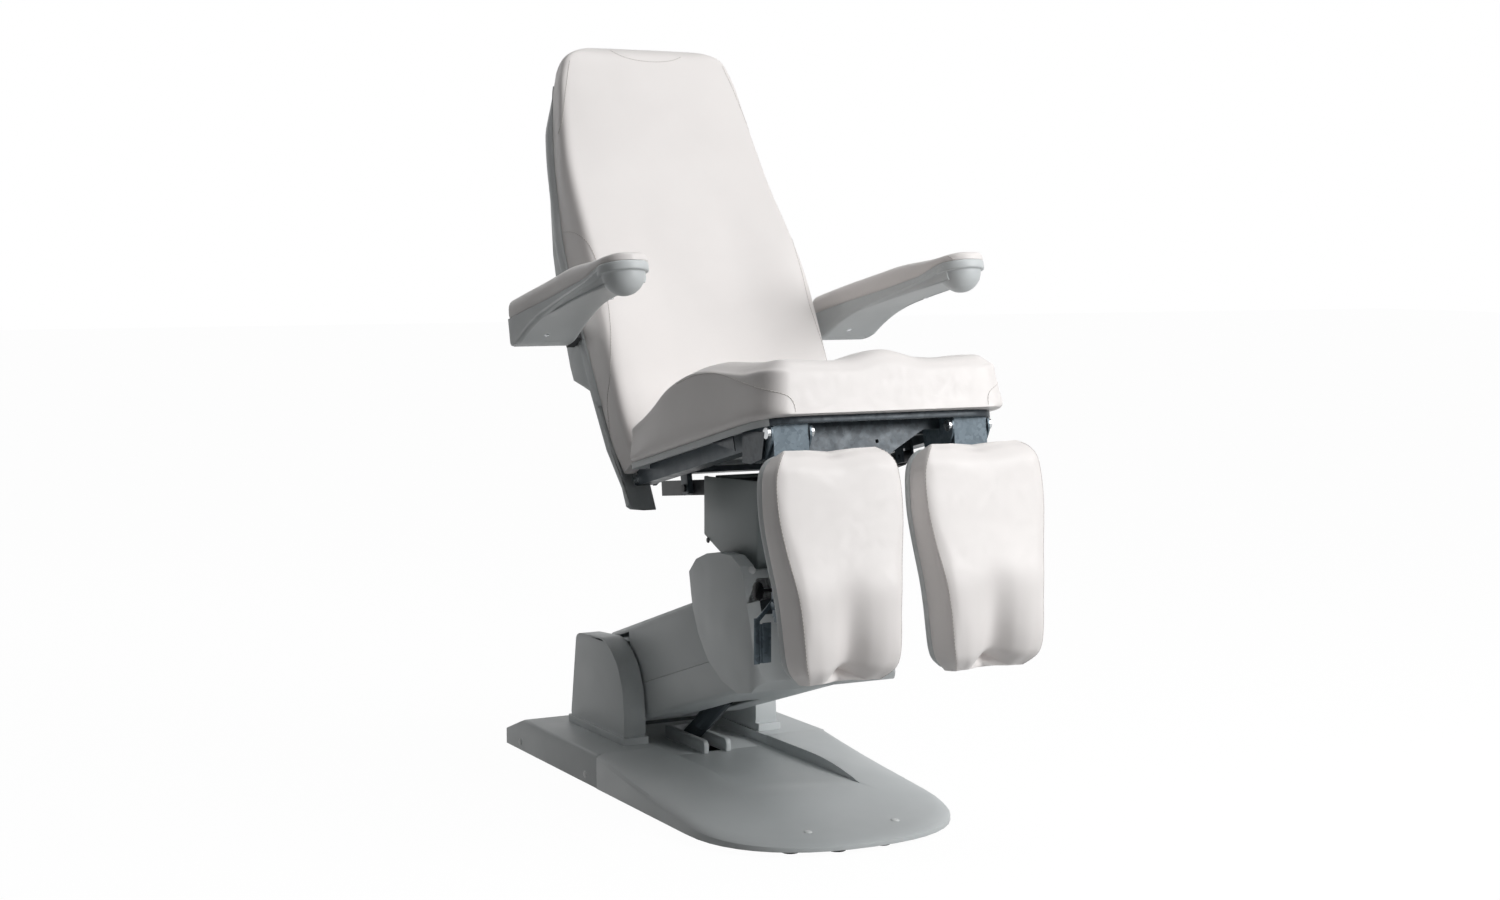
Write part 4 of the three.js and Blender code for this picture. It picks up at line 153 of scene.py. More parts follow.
def surface(name, colour, roughness, metallic=0.0):
    finish = bpy.data.materials.new(name)
    finish.use_nodes = True
    given(shader_of(finish), {"Base Color": colour, "Roughness": roughness,
                              "Metallic": metallic})
    return finish


def noise(finish, scale, detail=2.0, rough=0.5, stretch=None):
    tree = finish.node_tree
    place = tree.nodes.new("ShaderNodeTexCoord")
    source = place.outputs["Object"]
    if stretch:
        longer = tree.nodes.new("ShaderNodeMapping")
        given(longer, {"Scale": stretch})
        tree.links.new(source, longer.inputs["Vector"])
        source = longer.outputs["Vector"]
    pattern = tree.nodes.new("ShaderNodeTexNoise")
    given(pattern, {"Scale": scale, "Detail": detail, "Roughness": rough})
    tree.links.new(source, pattern.inputs["Vector"])
    return pattern.outputs["Fac"]


def cells(finish, scale, feature="F1"):
    tree = finish.node_tree
    place = tree.nodes.new("ShaderNodeTexCoord")
    pattern = tree.nodes.new("ShaderNodeTexVoronoi")
    pattern.feature = feature
    given(pattern, {"Scale": scale})
    tree.links.new(place.outputs["Object"], pattern.inputs["Vector"])
    return pattern.outputs


def tint(finish, factor, low_colour, high_colour, start=0.3, end=0.7):
    tree = finish.node_tree
    ramp = tree.nodes.new("ShaderNodeValToRGB")
    ramp.color_ramp.elements[0].position = start
    ramp.color_ramp.elements[0].color = low_colour
    ramp.color_ramp.elements[1].position = end
    ramp.color_ramp.elements[1].color = high_colour
    tree.links.new(factor, ramp.inputs["Fac"])
    tree.links.new(ramp.outputs["Color"], shader_of(finish).inputs["Base Color"])


def gloss_range(finish, factor, low, high):
    tree = finish.node_tree
    spread = tree.nodes.new("ShaderNodeMapRange")
    given(spread, {"From Min": 0.3, "From Max": 0.7, "To Min": low, "To Max": high})
    tree.links.new(factor, spread.inputs["Value"])
    tree.links.new(spread.outputs["Result"], shader_of(finish).inputs["Roughness"])


def relief(finish, height, strength, depth):
    tree = finish.node_tree
    bump = tree.nodes.new("ShaderNodeBump")
    given(bump, {"Strength": strength, "Distance": depth})
    shader = shader_of(finish)
    linked = shader.inputs["Normal"].links
    if linked:
        tree.links.new(linked[0].from_socket, bump.inputs["Normal"])
    tree.links.new(height, bump.inputs["Height"])
    tree.links.new(bump.outputs["Normal"], shader.inputs["Normal"])


def coat(names, finish):
    for name in names:
        node = nodes[name]
        if not node.data.materials:
            node.data.materials.append(finish)
        for slot in node.material_slots:
            slot.material = finish


foot_rubber = surface("foot_rubber", linear(44, 46, 48), 0.75)
tint(foot_rubber, noise(foot_rubber, 90), linear(36, 38, 40), linear(54, 56, 58))
relief(foot_rubber, noise(foot_rubber, 700), 0.3, 0.0004)
coat([f"front_foot_{i}" for i in (1, 2, 3, 4)] + ["rear_foot_left", "rear_foot_right"],
     foot_rubber)


# Welded steel frame in the base, arm beam, head bracket and the other steelwork:
# blue-grey powder coat with a fine orange peel and slow changes of its shade.
powder_coat = surface("blue_grey_powder_coat", linear(62, 72, 79), 0.42, 0.25)
tint(powder_coat, noise(powder_coat, 7, 4), linear(54, 63, 70), linear(72, 81, 87))
gloss_range(powder_coat, noise(powder_coat, 40, 3), 0.34, 0.5)
relief(powder_coat, noise(powder_coat, 900, 1), 0.12, 0.0003)
coat(["base_frame", "arm_beam", "head_bracket", "parallel_link_bar", "lift_actuator_tube",
      "seat_frame", "back_frame"], powder_coat)


# Shafts, bolts and actuator rods: ground steel with faint turning marks round them. The
# tilt and back actuators' tubes, tilt bars and armrest brackets have a dull black coat.
ground_steel = surface("ground_steel", linear(196, 199, 201), 0.28, 1.0)
gloss_range(ground_steel, noise(ground_steel, 60, 3, 0.6, (20, 1, 1)), 0.2, 0.36)
relief(ground_steel, noise(ground_steel, 400, 2, 0.6, (6, 1, 1)), 0.08, 0.0002)
coat(["arm_pivot_shaft", "link_pivot_pin", "head_pivot_shaft", "lift_actuator_rod",
      "tilt_actuator_rod", "back_actuator_rod", "back_hinge_pin_left", "back_hinge_pin_right",
      "leg_hinge_bolt_left", "leg_hinge_bolt_right"], ground_steel)
dull_black = surface("dull_black_coat", linear(38, 40, 43), 0.5)
tint(dull_black, noise(dull_black, 30, 3), linear(30, 32, 35), linear(50, 52, 55))
relief(dull_black, noise(dull_black, 800, 1), 0.15, 0.0003)
coat(["tilt_bars", "tilt_actuator_tube", "back_actuator_tube", "armrest_bracket_left",
      "armrest_bracket_right"], dull_black)


# Moulded covers of base, turret, arm and head: satin grey plastic with a very fine
# spark texture, edges rounded by the mould. Each is worked from the cover in the frame.
def plain(piece):
    shape = piece.evaluated_get(bpy.context.evaluated_depsgraph_get())
    made = bpy.data.meshes.new_from_object(shape)
    piece.modifiers.clear()
    piece.data = made


def shaded(tool, sharp):
    for edge_line in tool.edges:
        edge_line.smooth = edge_line.calc_face_angle(0) < math.radians(sharp)
    for face in tool.faces:
        face.smooth = True


def worked(name, body, finish, edge, steps=2):
    sharp, weld, flat = 32, 0.00002, math.radians(0.6)
    node = nodes[name]
    mesh = node.data.copy()
    mesh.name = name + "_worked"
    tool = bmesh.new()
    tool.from_mesh(mesh)
    bmesh.ops.remove_doubles(tool, verts=tool.verts, dist=weld)
    bmesh.ops.dissolve_limit(tool, angle_limit=flat, verts=tool.verts, edges=tool.edges)
    tool.to_mesh(mesh)
    tool.free()
    mesh.materials.clear()
    mesh.materials.append(finish)
    piece = placed(name + "_worked", mesh)
    bevel = piece.modifiers.new("edge", "BEVEL")
    bevel.width = edge
    bevel.segments = steps
    bevel.limit_method = "ANGLE"
    bevel.angle_limit = math.radians(sharp)
    plain(piece)
    tool = bmesh.new()
    tool.from_mesh(piece.data)
    shaded(tool, sharp)
    tool.to_mesh(piece.data)
    tool.free()
    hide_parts(name)
    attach(piece, body)
    return piece


cover_plastic = surface("satin_grey_plastic", linear(208, 213, 214), 0.46)
tint(cover_plastic, noise(cover_plastic, 3, 3), linear(205, 210, 211), linear(212, 216, 217))
gloss_range(cover_plastic, noise(cover_plastic, 22, 4), 0.42, 0.52)
relief(cover_plastic, noise(cover_plastic, 1500, 1), 0.1, 0.0002)
wide_edge, bezel_edge, fine_edge = 0.004, 0.002, 0.0015
base_cover = worked("front_base_cover", "base", cover_plastic, wide_edge, 3)
worked("rear_base_cover", "base", cover_plastic, wide_edge, 3)
worked("turret_cover", "base", cover_plastic, wide_edge, 3)
worked("slot_bezel", "base", cover_plastic, bezel_edge)
worked("arm_upper_cover", "arm", cover_plastic, fine_edge)
worked("arm_lower_cover", "arm", cover_plastic, fine_edge)
head_shell = worked("head_cover", "head", cover_plastic, fine_edge)


# Skirt cover on the head's post: a darker grey-green moulding with the covers' fine
# texture, folded like a box without a lid.
skirt_plastic = surface("skirt_plastic", linear(136, 144, 145), 0.45)
tint(skirt_plastic, noise(skirt_plastic, 5, 3), linear(132, 140, 141), linear(141, 148, 149))
relief(skirt_plastic, noise(skirt_plastic, 1300, 1), 0.1, 0.0002)
worked("skirt_cover", "head", skirt_plastic, bezel_edge)


# Seat board: the grey moulded tray under the seat cushion, its rim turned down, with a
# steel strip along its front. The plate between the leg rests is galvanised like it. The leg
# rests' bearings, channels and sliders get a lighter copy of it: painted highlight.
strip_front = -0.53
zinc = surface("galvanised_steel", linear(54, 61, 67), 0.42, 0.2)
given(shader_of(zinc), {"Specular IOR Level": 0.3})
tint(zinc, cells(zinc, 130)["Color"], linear(44, 51, 57), linear(64, 72, 78), 0.1, 0.9)
gloss_range(zinc, noise(zinc, 45, 4), 0.28, 0.44)
relief(zinc, noise(zinc, 120, 3), 0.12, 0.0003)
seat_board = worked("seat_board", "seat", cover_plastic, 0.001)
seat_board.data.materials.append(zinc)
for polygon in seat_board.data.polygons:
    if polygon.center.y < strip_front:
        polygon.material_index = 1
coat(["front_cross_plate"], zinc)
# A lighter copy of the galvanised steel: painted highlight for the leg rests' bearings, channels,
# sliders and levers.
painted_highlight_zinc = zinc.copy()
painted_highlight_zinc.name = "painted_highlight_galvanised_steel"
for node in painted_highlight_zinc.node_tree.nodes:
    if node.bl_idname == "ShaderNodeValToRGB":
        node.color_ramp.elements[0].color = linear(84, 97, 106)
        node.color_ramp.elements[1].color = linear(108, 121, 130)
coat(["leg_bearing_left", "leg_bearing_right", "leg_channel_left", "leg_channel_right",
      "leg_slider_left", "leg_slider_right"], painted_highlight_zinc)


# Seat cushion: foam on the seat board under a stretched white cover, raised bolsters
# along both sides, a low crown between them and a front edge that rolls over.
def following(pairs):
    places = [place for place, _ in pairs]
    values = [value for _, value in pairs]
    slopes = [(values[i + 1] - values[i]) / (places[i + 1] - places[i])
              for i in range(len(pairs) - 1)]

    def value_at(place):
        if place <= places[0]:
            return values[0]
        if place >= places[-1]:
            return values[-1]
        i = max(k for k in range(len(places) - 1) if places[k] <= place)
        span = places[i + 1] - places[i]
        t = (place - places[i]) / span
        into = (slopes[i - 1] + slopes[i]) / 2 if i else slopes[i]
        out = (slopes[i] + slopes[i + 1]) / 2 if i + 1 < len(slopes) else slopes[i]
        return ((2 * t**3 - 3 * t**2 + 1) * values[i] + (t**3 - 2 * t**2 + t) * span * into
                + (3 * t**2 - 2 * t**3) * values[i + 1] + (t**3 - t**2) * span * out)
    return value_at


def smooth_step(low, high, value):
    t = min(1, max(0, (value - low) / (high - low)))
    return t * t * (3 - 2 * t)


def across(i, half_count):
    crowding = 0.62
    return (math.sin((-1 + i / half_count) * math.pi / 2 * crowding)
            / math.sin(math.pi / 2 * crowding))


def over_top(half_count):
    return [across(i, half_count) for i in range(2 * half_count + 1)]


def evenly_back(half_count):
    return [1 - i / half_count for i in range(2 * half_count + 1)]


def close_at_ends(steps):
    return [0.5 - 0.5 * math.cos(math.pi * i / steps) for i in range(steps + 1)]


def tilted(place, degrees_up):
    return Matrix.Translation(place) @ Matrix.Rotation(-math.radians(degrees_up), 4, "X")


def ring_skin(name, rings, place, finish):
    count = len(rings[0])
    points = [place @ (Vector(point) / 1000) for ring in rings for point in ring]
    faces = []
    for row in range(len(rings) - 1):
        for i in range(count):
            after = (i + 1) % count
            faces.append((row * count + i, row * count + after,
                          (row + 1) * count + after, (row + 1) * count + i))
    for row, turn in ((0, -1), (len(rings) - 1, 1)):
        hub = len(points)
        ring = points[row * count:(row + 1) * count]
        points.append(sum(ring, Vector()) / count)
        for i in range(count):
            face = (row * count + i, row * count + (i + 1) % count, hub)
            faces.append(face if turn > 0 else face[::-1])
    mesh = bpy.data.meshes.new(name)
    mesh.from_pydata(points, [], faces)
    tool = bmesh.new()
    tool.from_mesh(mesh)
    bmesh.ops.recalc_face_normals(tool, faces=tool.faces)
    tool.to_mesh(mesh)
    tool.free()
    mesh.polygons.foreach_set("use_smooth", [True] * len(mesh.polygons))
    mesh.materials.append(finish)
    return placed(name, mesh)


def plumped(piece, reach, held):
    stretch, bend, last_step, easing = 20, 0.8, 20, 6
    start = [vertex.co.copy() for vertex in piece.data.vertices]
    group = piece.vertex_groups.new(name="held")
    group.add([v.index for v in piece.data.vertices if held(v.co)], 1.0, "REPLACE")
    cloth = piece.modifiers.new("foam", "CLOTH")
    cloth.settings.quality = 4
    cloth.settings.use_pressure = True
    cloth.settings.uniform_pressure_force = 3
    cloth.settings.tension_stiffness = stretch
    cloth.settings.compression_stiffness = stretch
    cloth.settings.bending_stiffness = bend
    cloth.settings.effector_weights.gravity = 0
    cloth.settings.vertex_group_mass = "held"
    cloth.point_cache.frame_start = 1
    cloth.point_cache.frame_end = last_step
    for step in range(1, last_step + 1):
        scene.frame_set(step)
    settled = piece.evaluated_get(bpy.context.evaluated_depsgraph_get())
    moved = [vertex.co.copy() for vertex in settled.data.vertices]
    piece.modifiers.clear()
    piece.vertex_groups.clear()
    scene.frame_set(1)
    shifts = []
    for before, after in zip(start, moved):
        shift = after - before
        shifts.append(shift * (reach / shift.length) if shift.length > reach else shift)
    beside = [[] for _ in shifts]
    for edge_line in piece.data.edges:
        a, b = edge_line.vertices
        beside[a].append(b)
        beside[b].append(a)
    for _ in range(easing):
        shifts = [(shift + sum((shifts[i] for i in near), Vector()) / len(near)) / 2
                  for shift, near in zip(shifts, beside)]
    for vertex, before, shift in zip(piece.data.vertices, start, shifts):
        vertex.co = before + shift


def refined(piece):
    finer = piece.modifiers.new("finer", "SUBSURF")
    finer.levels = finer.render_levels = 1
    plain(piece)


white_cover = surface("white_upholstery", linear(240, 236, 234), 0.46)
tint(white_cover, noise(white_cover, 4, 3), linear(238, 234, 232), linear(243, 239, 237))
gloss_range(white_cover, noise(white_cover, 60, 4), 0.4, 0.52)
relief(white_cover, cells(white_cover, 520, "DISTANCE_TO_EDGE")["Distance"], 0.12, 0.0006)
relief(white_cover, noise(white_cover, 26, 3), 0.05, 0.004)
given(shader_of(white_cover), {"Sheen Weight": 0.08})

seat_tilt = 12.8
back_hinge = (0, 0.09309, 0.680)
seat_place = tilted(back_hinge, seat_tilt)
seat_half, seat_front, seat_rear, seat_bottom = 273, 684, 76, 24.1
bolster_height, centre_rise, front_stretch, side_reach = 142, 0.13, 9, 0.968
front_corner, rear_corner, corner_share = 62, 18, 0.85
wide_plump, seat_held = 0.004, 0.03
seam_along = following([(0, 0.47), (0.14, 0.61), (0.225, 0.71), (0.31, 0.8), (0.4, 0.86),
                        (0.51, 0.89), (0.62, 0.85), (0.71, 0.77), (0.84, 0.64), (0.94, 0.6),
                        (1, 0.58)])
bolster_along = following([(0, 0.52), (0.2, 0.78), (0.41, 1.0), (0.59, 0.98), (0.74, 0.89),
                           (0.88, 0.79), (1, 0.74)])
valley_along = following([(0, 0.42), (0.25, 0.5), (0.5, 0.62), (0.7, 0.72), (0.85, 0.74),
                          (1, 0.72)])


def seat_ring(share):
    from_end = min(share, 1 - share) * (seat_front - seat_rear)
    corner = front_corner if share > 0.5 else rear_corner
    pull = corner - math.sqrt(corner**2 - (corner - from_end)**2) if from_end < corner else 0
    half = seat_half - pull * corner_share
    y = -(seat_rear + share * (seat_front + front_stretch - seat_rear))
    over = max(0, (share - 0.95) / 0.05)
    front = 0.72 + 0.28 * math.sqrt(max(0, 1 - over * over))
    valley, bolster = valley_along(share), bolster_along(share)
    fall_start = 0.74 + 0.07 * smooth_step(0.65, 0.95, share)
    ring = []
    for u in over_top(32):
        u *= side_reach
        side = abs(u)
        crest = valley + (bolster - valley) * smooth_step(0.4, 0.78, side)
        crest += centre_rise * smooth_step(0.36, 0, side)
        crest *= front
        edge = min(seam_along(share), crest)
        lift = crest + (edge - crest) * smooth_step(fall_start, 1.0, side)
        ring.append((half * u, y, seat_bottom + bolster_height * lift))
    top_edge = ring[-1][2] - seat_bottom
    panel = ((0.966, 0.86), (0.975, 0.6), (0.99, 0.33), (1.0, 0.09))
    for out, rise in panel:
        ring.append((half * out, y, seat_bottom + top_edge * rise))
    for inward in evenly_back(20):
        ring.append((half * 0.975 * inward, y, seat_bottom))
    for out, rise in reversed(panel):
        ring.append((-half * out, y, seat_bottom + top_edge * rise))
    return ring


seat_cushion = ring_skin("seat_upholstery", [seat_ring(share) for share in close_at_ends(62)],
                         seat_place, white_cover)
plumped(seat_cushion, wide_plump, lambda point: (seat_place.inverted() @ point).z < seat_held)
refined(seat_cushion)
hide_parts("seat_cushion")
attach(seat_cushion, "seat")


# Sewn seams of the seat cushion: the side panels are sewn to the top cover in a tight crease
# with a row of short raised stitches; a seam follows its line over the cover. The crease is a
# thin darker tube laid along the seam: painted shade in the crease.
def cover_of(piece):
    mesh = piece.data
    return BVHTree.FromPolygons([v.co.copy() for v in mesh.vertices],
                                [tuple(f.vertices) for f in mesh.polygons])


def ray_through(x, y):
    turn = camera.rotation_euler.to_matrix()
    return turn @ Vector(((x - centre_across) / focal_pixels, (centre_down - y) / focal_pixels,
                          -1)).normalized()


def seen_line(cover, pixels):
    step = 3.0
    line = []
    for (x0, y0), (x1, y1) in zip(pixels, pixels[1:]):
        pieces = max(1, round(math.hypot(x1 - x0, y1 - y0) / step))
        for i in range(pieces):
            x = x0 + (x1 - x0) * i / pieces
            y = y0 + (y1 - y0) * i / pieces
            place = cover.ray_cast(Vector(camera_place), ray_through(x, y))[0]
            if place is not None:
                line.append(place)
    return line


def on_cover(cover, point):
    above = 0.0002
    place, facing, _, _ = cover.find_nearest(point)
    return place + facing * above


def laid_line(cover, line, mirrored=False):
    turned = -1 if mirrored else 1
    laid = [on_cover(cover, Vector((turned * point.x, point.y, point.z))) for point in line]
    for _ in range(3):
        between = [(a + 2 * b + c) / 4 for a, b, c in zip(laid, laid[1:], laid[2:])]
        laid = [laid[0]] + between + [laid[-1]]
    return [on_cover(cover, point) for point in laid]


def both_hands(cover, *lines):
    return [laid_line(cover, line, mirrored) for line in lines for mirrored in (False, True)]


# Painted crease shade: a thin tube along each seam, coloured darker than the cover, stands in for
# the shade in the crease.
painted_crease_shade = surface("painted_crease_shade", linear(176, 170, 167), 0.8)
tint(painted_crease_shade, noise(painted_crease_shade, 300), linear(166, 160, 157), linear(186, 181, 178))
stitch_thread = surface("stitch_thread", linear(226, 221, 218), 0.6)
tint(stitch_thread, noise(stitch_thread, 900), linear(214, 209, 206), linear(236, 232, 229))


def open_tree(name, values):
    tree = bpy.data.node_groups.new(name, "GeometryNodeTree")
    tree.is_modifier = True
    face = tree.interface
    face.new_socket("Geometry", in_out="INPUT", socket_type="NodeSocketGeometry")
    for label, value in values:
        socket = face.new_socket(label, in_out="INPUT", socket_type="NodeSocketFloat")
        socket.default_value = value
    face.new_socket("Geometry", in_out="OUTPUT", socket_type="NodeSocketGeometry")
    node, link = tree.nodes.new, tree.links.new
    return tree, node("NodeGroupInput"), node("NodeGroupOutput"), node, link


def sewing_tree():
    tree, entry, leave, node, link = open_tree("sewn_seam", (
        ("Pitch", 0.007), ("Stitch Length", 0.0048), ("Thread", 0.0019), ("Crease Shade", 0.0005)))
    line = node("GeometryNodeMeshToCurve")
    link(entry.outputs["Geometry"], line.inputs["Mesh"])
    spaced = node("GeometryNodeResampleCurve")
    spaced.mode = "LENGTH"
    link(line.outputs["Curve"], spaced.inputs["Curve"])
    link(entry.outputs["Pitch"], spaced.inputs["Length"])
    bead = node("GeometryNodeMeshUVSphere")
    given(bead, {"Segments": 6, "Rings": 4, "Radius": 0.5})
    size = node("ShaderNodeCombineXYZ")
    link(entry.outputs["Thread"], size.inputs["X"])
    link(entry.outputs["Thread"], size.inputs["Y"])
    link(entry.outputs["Stitch Length"], size.inputs["Z"])
    tangent = node("GeometryNodeInputTangent")
    turn = node("FunctionNodeAlignRotationToVector")
    turn.axis = "Z"
    link(tangent.outputs["Tangent"], turn.inputs["Vector"])
    stitches = node("GeometryNodeInstanceOnPoints")
    link(spaced.outputs["Curve"], stitches.inputs["Points"])
    link(bead.outputs["Mesh"], stitches.inputs["Instance"])
    link(turn.outputs["Rotation"], stitches.inputs["Rotation"])
    link(size.outputs["Vector"], stitches.inputs["Scale"])
    threaded = node("GeometryNodeSetMaterial")
    given(threaded, {"Material": stitch_thread})
    link(stitches.outputs["Instances"], threaded.inputs["Geometry"])
    # The crease tube, drawn in the painted crease shade.
    ring = node("GeometryNodeCurvePrimitiveCircle")
    given(ring, {"Resolution": 6})
    link(entry.outputs["Crease Shade"], ring.inputs["Radius"])
    fold = node("GeometryNodeCurveToMesh")
    given(fold, {"Fill Caps": True})
    link(line.outputs["Curve"], fold.inputs["Curve"])
    link(ring.outputs["Curve"], fold.inputs["Profile Curve"])
    crease_shaded = node("GeometryNodeSetMaterial")
    given(crease_shaded, {"Material": painted_crease_shade})
    link(fold.outputs["Mesh"], crease_shaded.inputs["Geometry"])
    both = node("GeometryNodeJoinGeometry")
    link(threaded.outputs["Geometry"], both.inputs["Geometry"])
    link(crease_shaded.outputs["Geometry"], both.inputs["Geometry"])
    real = node("GeometryNodeRealizeInstances")
    link(both.outputs["Geometry"], real.inputs["Geometry"])
    link(real.outputs["Geometry"], leave.inputs["Geometry"])
    return tree


sewn_seam = sewing_tree()


def sewn(name, lines, body):
    points, edges = [], []
    for line in lines:
        start = len(points)
        points += line
        edges += [(start + i, start + i + 1) for i in range(len(line) - 1)]
    mesh = bpy.data.meshes.new(name)
    mesh.from_pydata(points, edges, [])
    piece = placed(name, mesh)
    piece.modifiers.new("sewing", "NODES").node_group = sewn_seam
    plain(piece)
    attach(piece, body)


seat_cover = cover_of(seat_cushion)
seat_seam = seen_line(seat_cover, [(677, 384), (691, 376.5), (707, 373), (720, 374), (741, 382),
                                   (757, 388), (775.5, 392), (787, 395), (792, 399),
                                   (794.5, 404), (796, 414)])
sewn("seat_seams", both_hands(seat_cover, seat_seam), "seat")


# Leg rests: a thin grey tray with a white pad on it, its sides drawn in towards the
# foot, a groove for the calf from the middle down and a dip in the top edge.
pad_half, pad_depth, pad_top, pad_length, pad_back = 135, 85, -34, 428, -52.3
calf_groove, top_dip, foot_dip, rear_cut = 35, -12, 26, 9.5
tray_lip, tray_foot_rise, tray_seat, tray_end_wall = 1.5, 7, -11.4, -40
leg_across, leg_hinge_y, leg_hinge_z, leg_hang = 0.157, -0.52411, 0.8192, 6
pad_plump, pad_held = 0.003, -0.062
pad_width_along = following([(0, 0.72), (0.02, 0.82), (0.045, 0.89), (0.07, 0.94), (0.12, 0.985),
                             (0.2, 1), (0.28, 0.995), (0.36, 0.966), (0.476, 0.905),
                             (0.6, 0.835), (0.715, 0.795), (0.835, 0.77), (0.9, 0.75),
                             (0.95, 0.7), (1, 0.56)])
pad_depth_along = following([(0, 0.35), (0.02, 0.53), (0.04, 0.61), (0.07, 0.66), (0.12, 0.67),
                             (0.24, 0.72), (0.36, 0.78), (0.476, 0.86), (0.6, 0.975),
                             (0.715, 0.995), (0.835, 0.985), (0.9, 0.95), (0.95, 0.86),
                             (1, 0.5)])


def rounded(side, start, width):
    return math.sqrt(max(0, 1 - ((side - start) / width)**2)) if side > start else 1


def pad_end_cut(share):
    return rear_cut * (1 - share)**20


def pad_ring(share):
    half = pad_half * pad_width_along(share)
    z = pad_top - share * pad_length
    low = z - pad_end_cut(share)
    deep = pad_depth * pad_depth_along(share)
    groove = calf_groove * smooth_step(0.46, 1.0, share)
    end_dip = (top_dip if share < 0.5 else foot_dip) * (abs(share - 0.5) * 2)**8
    ring = []
    for u in over_top(22):
        side = abs(u)
        roll = rounded(side, 0.93, 0.07)
        crown = 1 - 0.03 * side**4
        valley = groove * (0.6 * smooth_step(0.72, 0, side) + 0.4 * smooth_step(0.4, 0, side))
        forward = (deep * crown - valley) * (0.95 + 0.05 * roll)
        ring.append((half * u, pad_back - forward, z + end_dip * smooth_step(0.62, 0, side)))
    edge = ring[-1][1]
    for part in (0.66, 0.33, 0.08):
        ring.append((half, pad_back + (edge - pad_back) * part, low + (z - low) * part))
    for inward in evenly_back(12):
        ring.append((half * 0.96 * inward, pad_back, low))
    for part in (0.08, 0.33, 0.66):
        ring.append((-half, pad_back + (edge - pad_back) * part, low + (z - low) * part))
    return ring


tray_outline = ((1, -54), (1, -45), (0.985, -40), (0.94, -37), (0.45, -34), (0.34, None),
                (0, None), (-0.34, None), (-0.45, -34), (-0.94, -37), (-0.985, -40), (-1, -45),
                (-1, -54), (-0.5, -54), (0, -54), (0.5, -54))
pad_shares = close_at_ends(46)
for hand, side in (("left", 1), ("right", -1)):
    pad_place = tilted((side * leg_across, leg_hinge_y, leg_hinge_z), leg_hang)
    pad = ring_skin(f"leg_upholstery_{hand}", [pad_ring(share) for share in pad_shares],
                    pad_place, white_cover)
    plumped(pad, pad_plump, lambda point: (pad_place.inverted() @ point).y > pad_held)
    refined(pad)
    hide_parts(f"leg_cushion_{hand}")
    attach(pad, f"leg_pad_{hand}")
    pad_cover = cover_of(pad)
    tray_rings = []
    for row, share in enumerate(pad_shares):
        half = pad_half * pad_width_along(share) + tray_lip
        level = pad_top - share * pad_length - pad_end_cut(share)
        level += tray_foot_rise * (2 * share - 1)**8 if share > 0.5 else 0
        rear = tray_seat if 0 < row < len(pad_shares) - 1 else tray_end_wall
        tray_rings.append([(half * out, rear if depth is None else depth, level)
                           for out, depth in tray_outline])
    tray = ring_skin(f"leg_tray_{hand}", tray_rings, pad_place, cover_plastic)
    refined(tray)
    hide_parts(f"leg_shell_{hand}")
    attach(tray, f"leg_pad_{hand}")
    pad_seams = [[pad_place @ (Vector(pad_ring(share)[i]) / 1000) for share in pad_shares[3:-2]]
                 for i in (1, 43)]
    sewn(f"leg_seams_{hand}", [laid_line(pad_cover, line) for line in pad_seams],
         f"leg_pad_{hand}")


# Clamp knobs: black moulded wing knobs, each on a short stem, that pinch the slider on
# its channel; a wing shows which way the clamp is turned.
def built(tool, name, finish):
    mesh = bpy.data.meshes.new(name)
    tool.to_mesh(mesh)
    tool.free()
    mesh.materials.append(finish)
    return placed(name, mesh)


knob_black = surface("black_knob", linear(12, 12, 14), 0.6)
given(shader_of(knob_black), {"Specular IOR Level": 0.2})
relief(knob_black, noise(knob_black, 900, 1), 0.1, 0.0002)
wing = [(-280, -10), (-280, 10), (-277.5, 15), (-271, 17.5), (-266, 14), (-263.5, 8),
        (-262.5, 4), (-262.5, -4), (-263.5, -8), (-266, -14), (-271, -17.5), (-277.5, -15)]
wing_layers = ((-6, 0.86), (-4.5, 1), (4.5, 1), (6, 0.86))
knob_y, knob_z, stem_x, stem_radius, stem_length = -0.5434, 0.5306, 0.2485, 0.0035, 0.029
for hand, side in (("left", 1), ("right", -1)):
    tool = bmesh.new()
    levels = [[tool.verts.new((-side * x / 1000, knob_y + depth / 1000, knob_z + z * wide / 1000))
               for x, z in wing] for depth, wide in wing_layers]
    for low_row, high_row in zip(levels, levels[1:]):
        for i in range(len(wing)):
            after = (i + 1) % len(wing)
            tool.faces.new((low_row[i], low_row[after], high_row[after], high_row[i]))
    tool.faces.new(list(reversed(levels[0])))
    tool.faces.new(levels[-1])
    stem = bmesh.ops.create_cone(tool, cap_ends=True, segments=20, radius1=stem_radius,
                                 radius2=stem_radius, depth=stem_length)["verts"]
    bmesh.ops.rotate(tool, verts=stem, cent=(0, 0, 0), matrix=Matrix.Rotation(math.pi / 2, 3, "Y"))
    bmesh.ops.translate(tool, verts=stem, vec=(side * stem_x, knob_y, knob_z))
    shaded(tool, 40)
    bmesh.ops.recalc_face_normals(tool, faces=tool.faces)
    knob = built(tool, f"wing_knob_{hand}", knob_black)
    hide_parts(f"clamp_knob_{hand}")
    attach(knob, f"clamp_knob_{hand}")


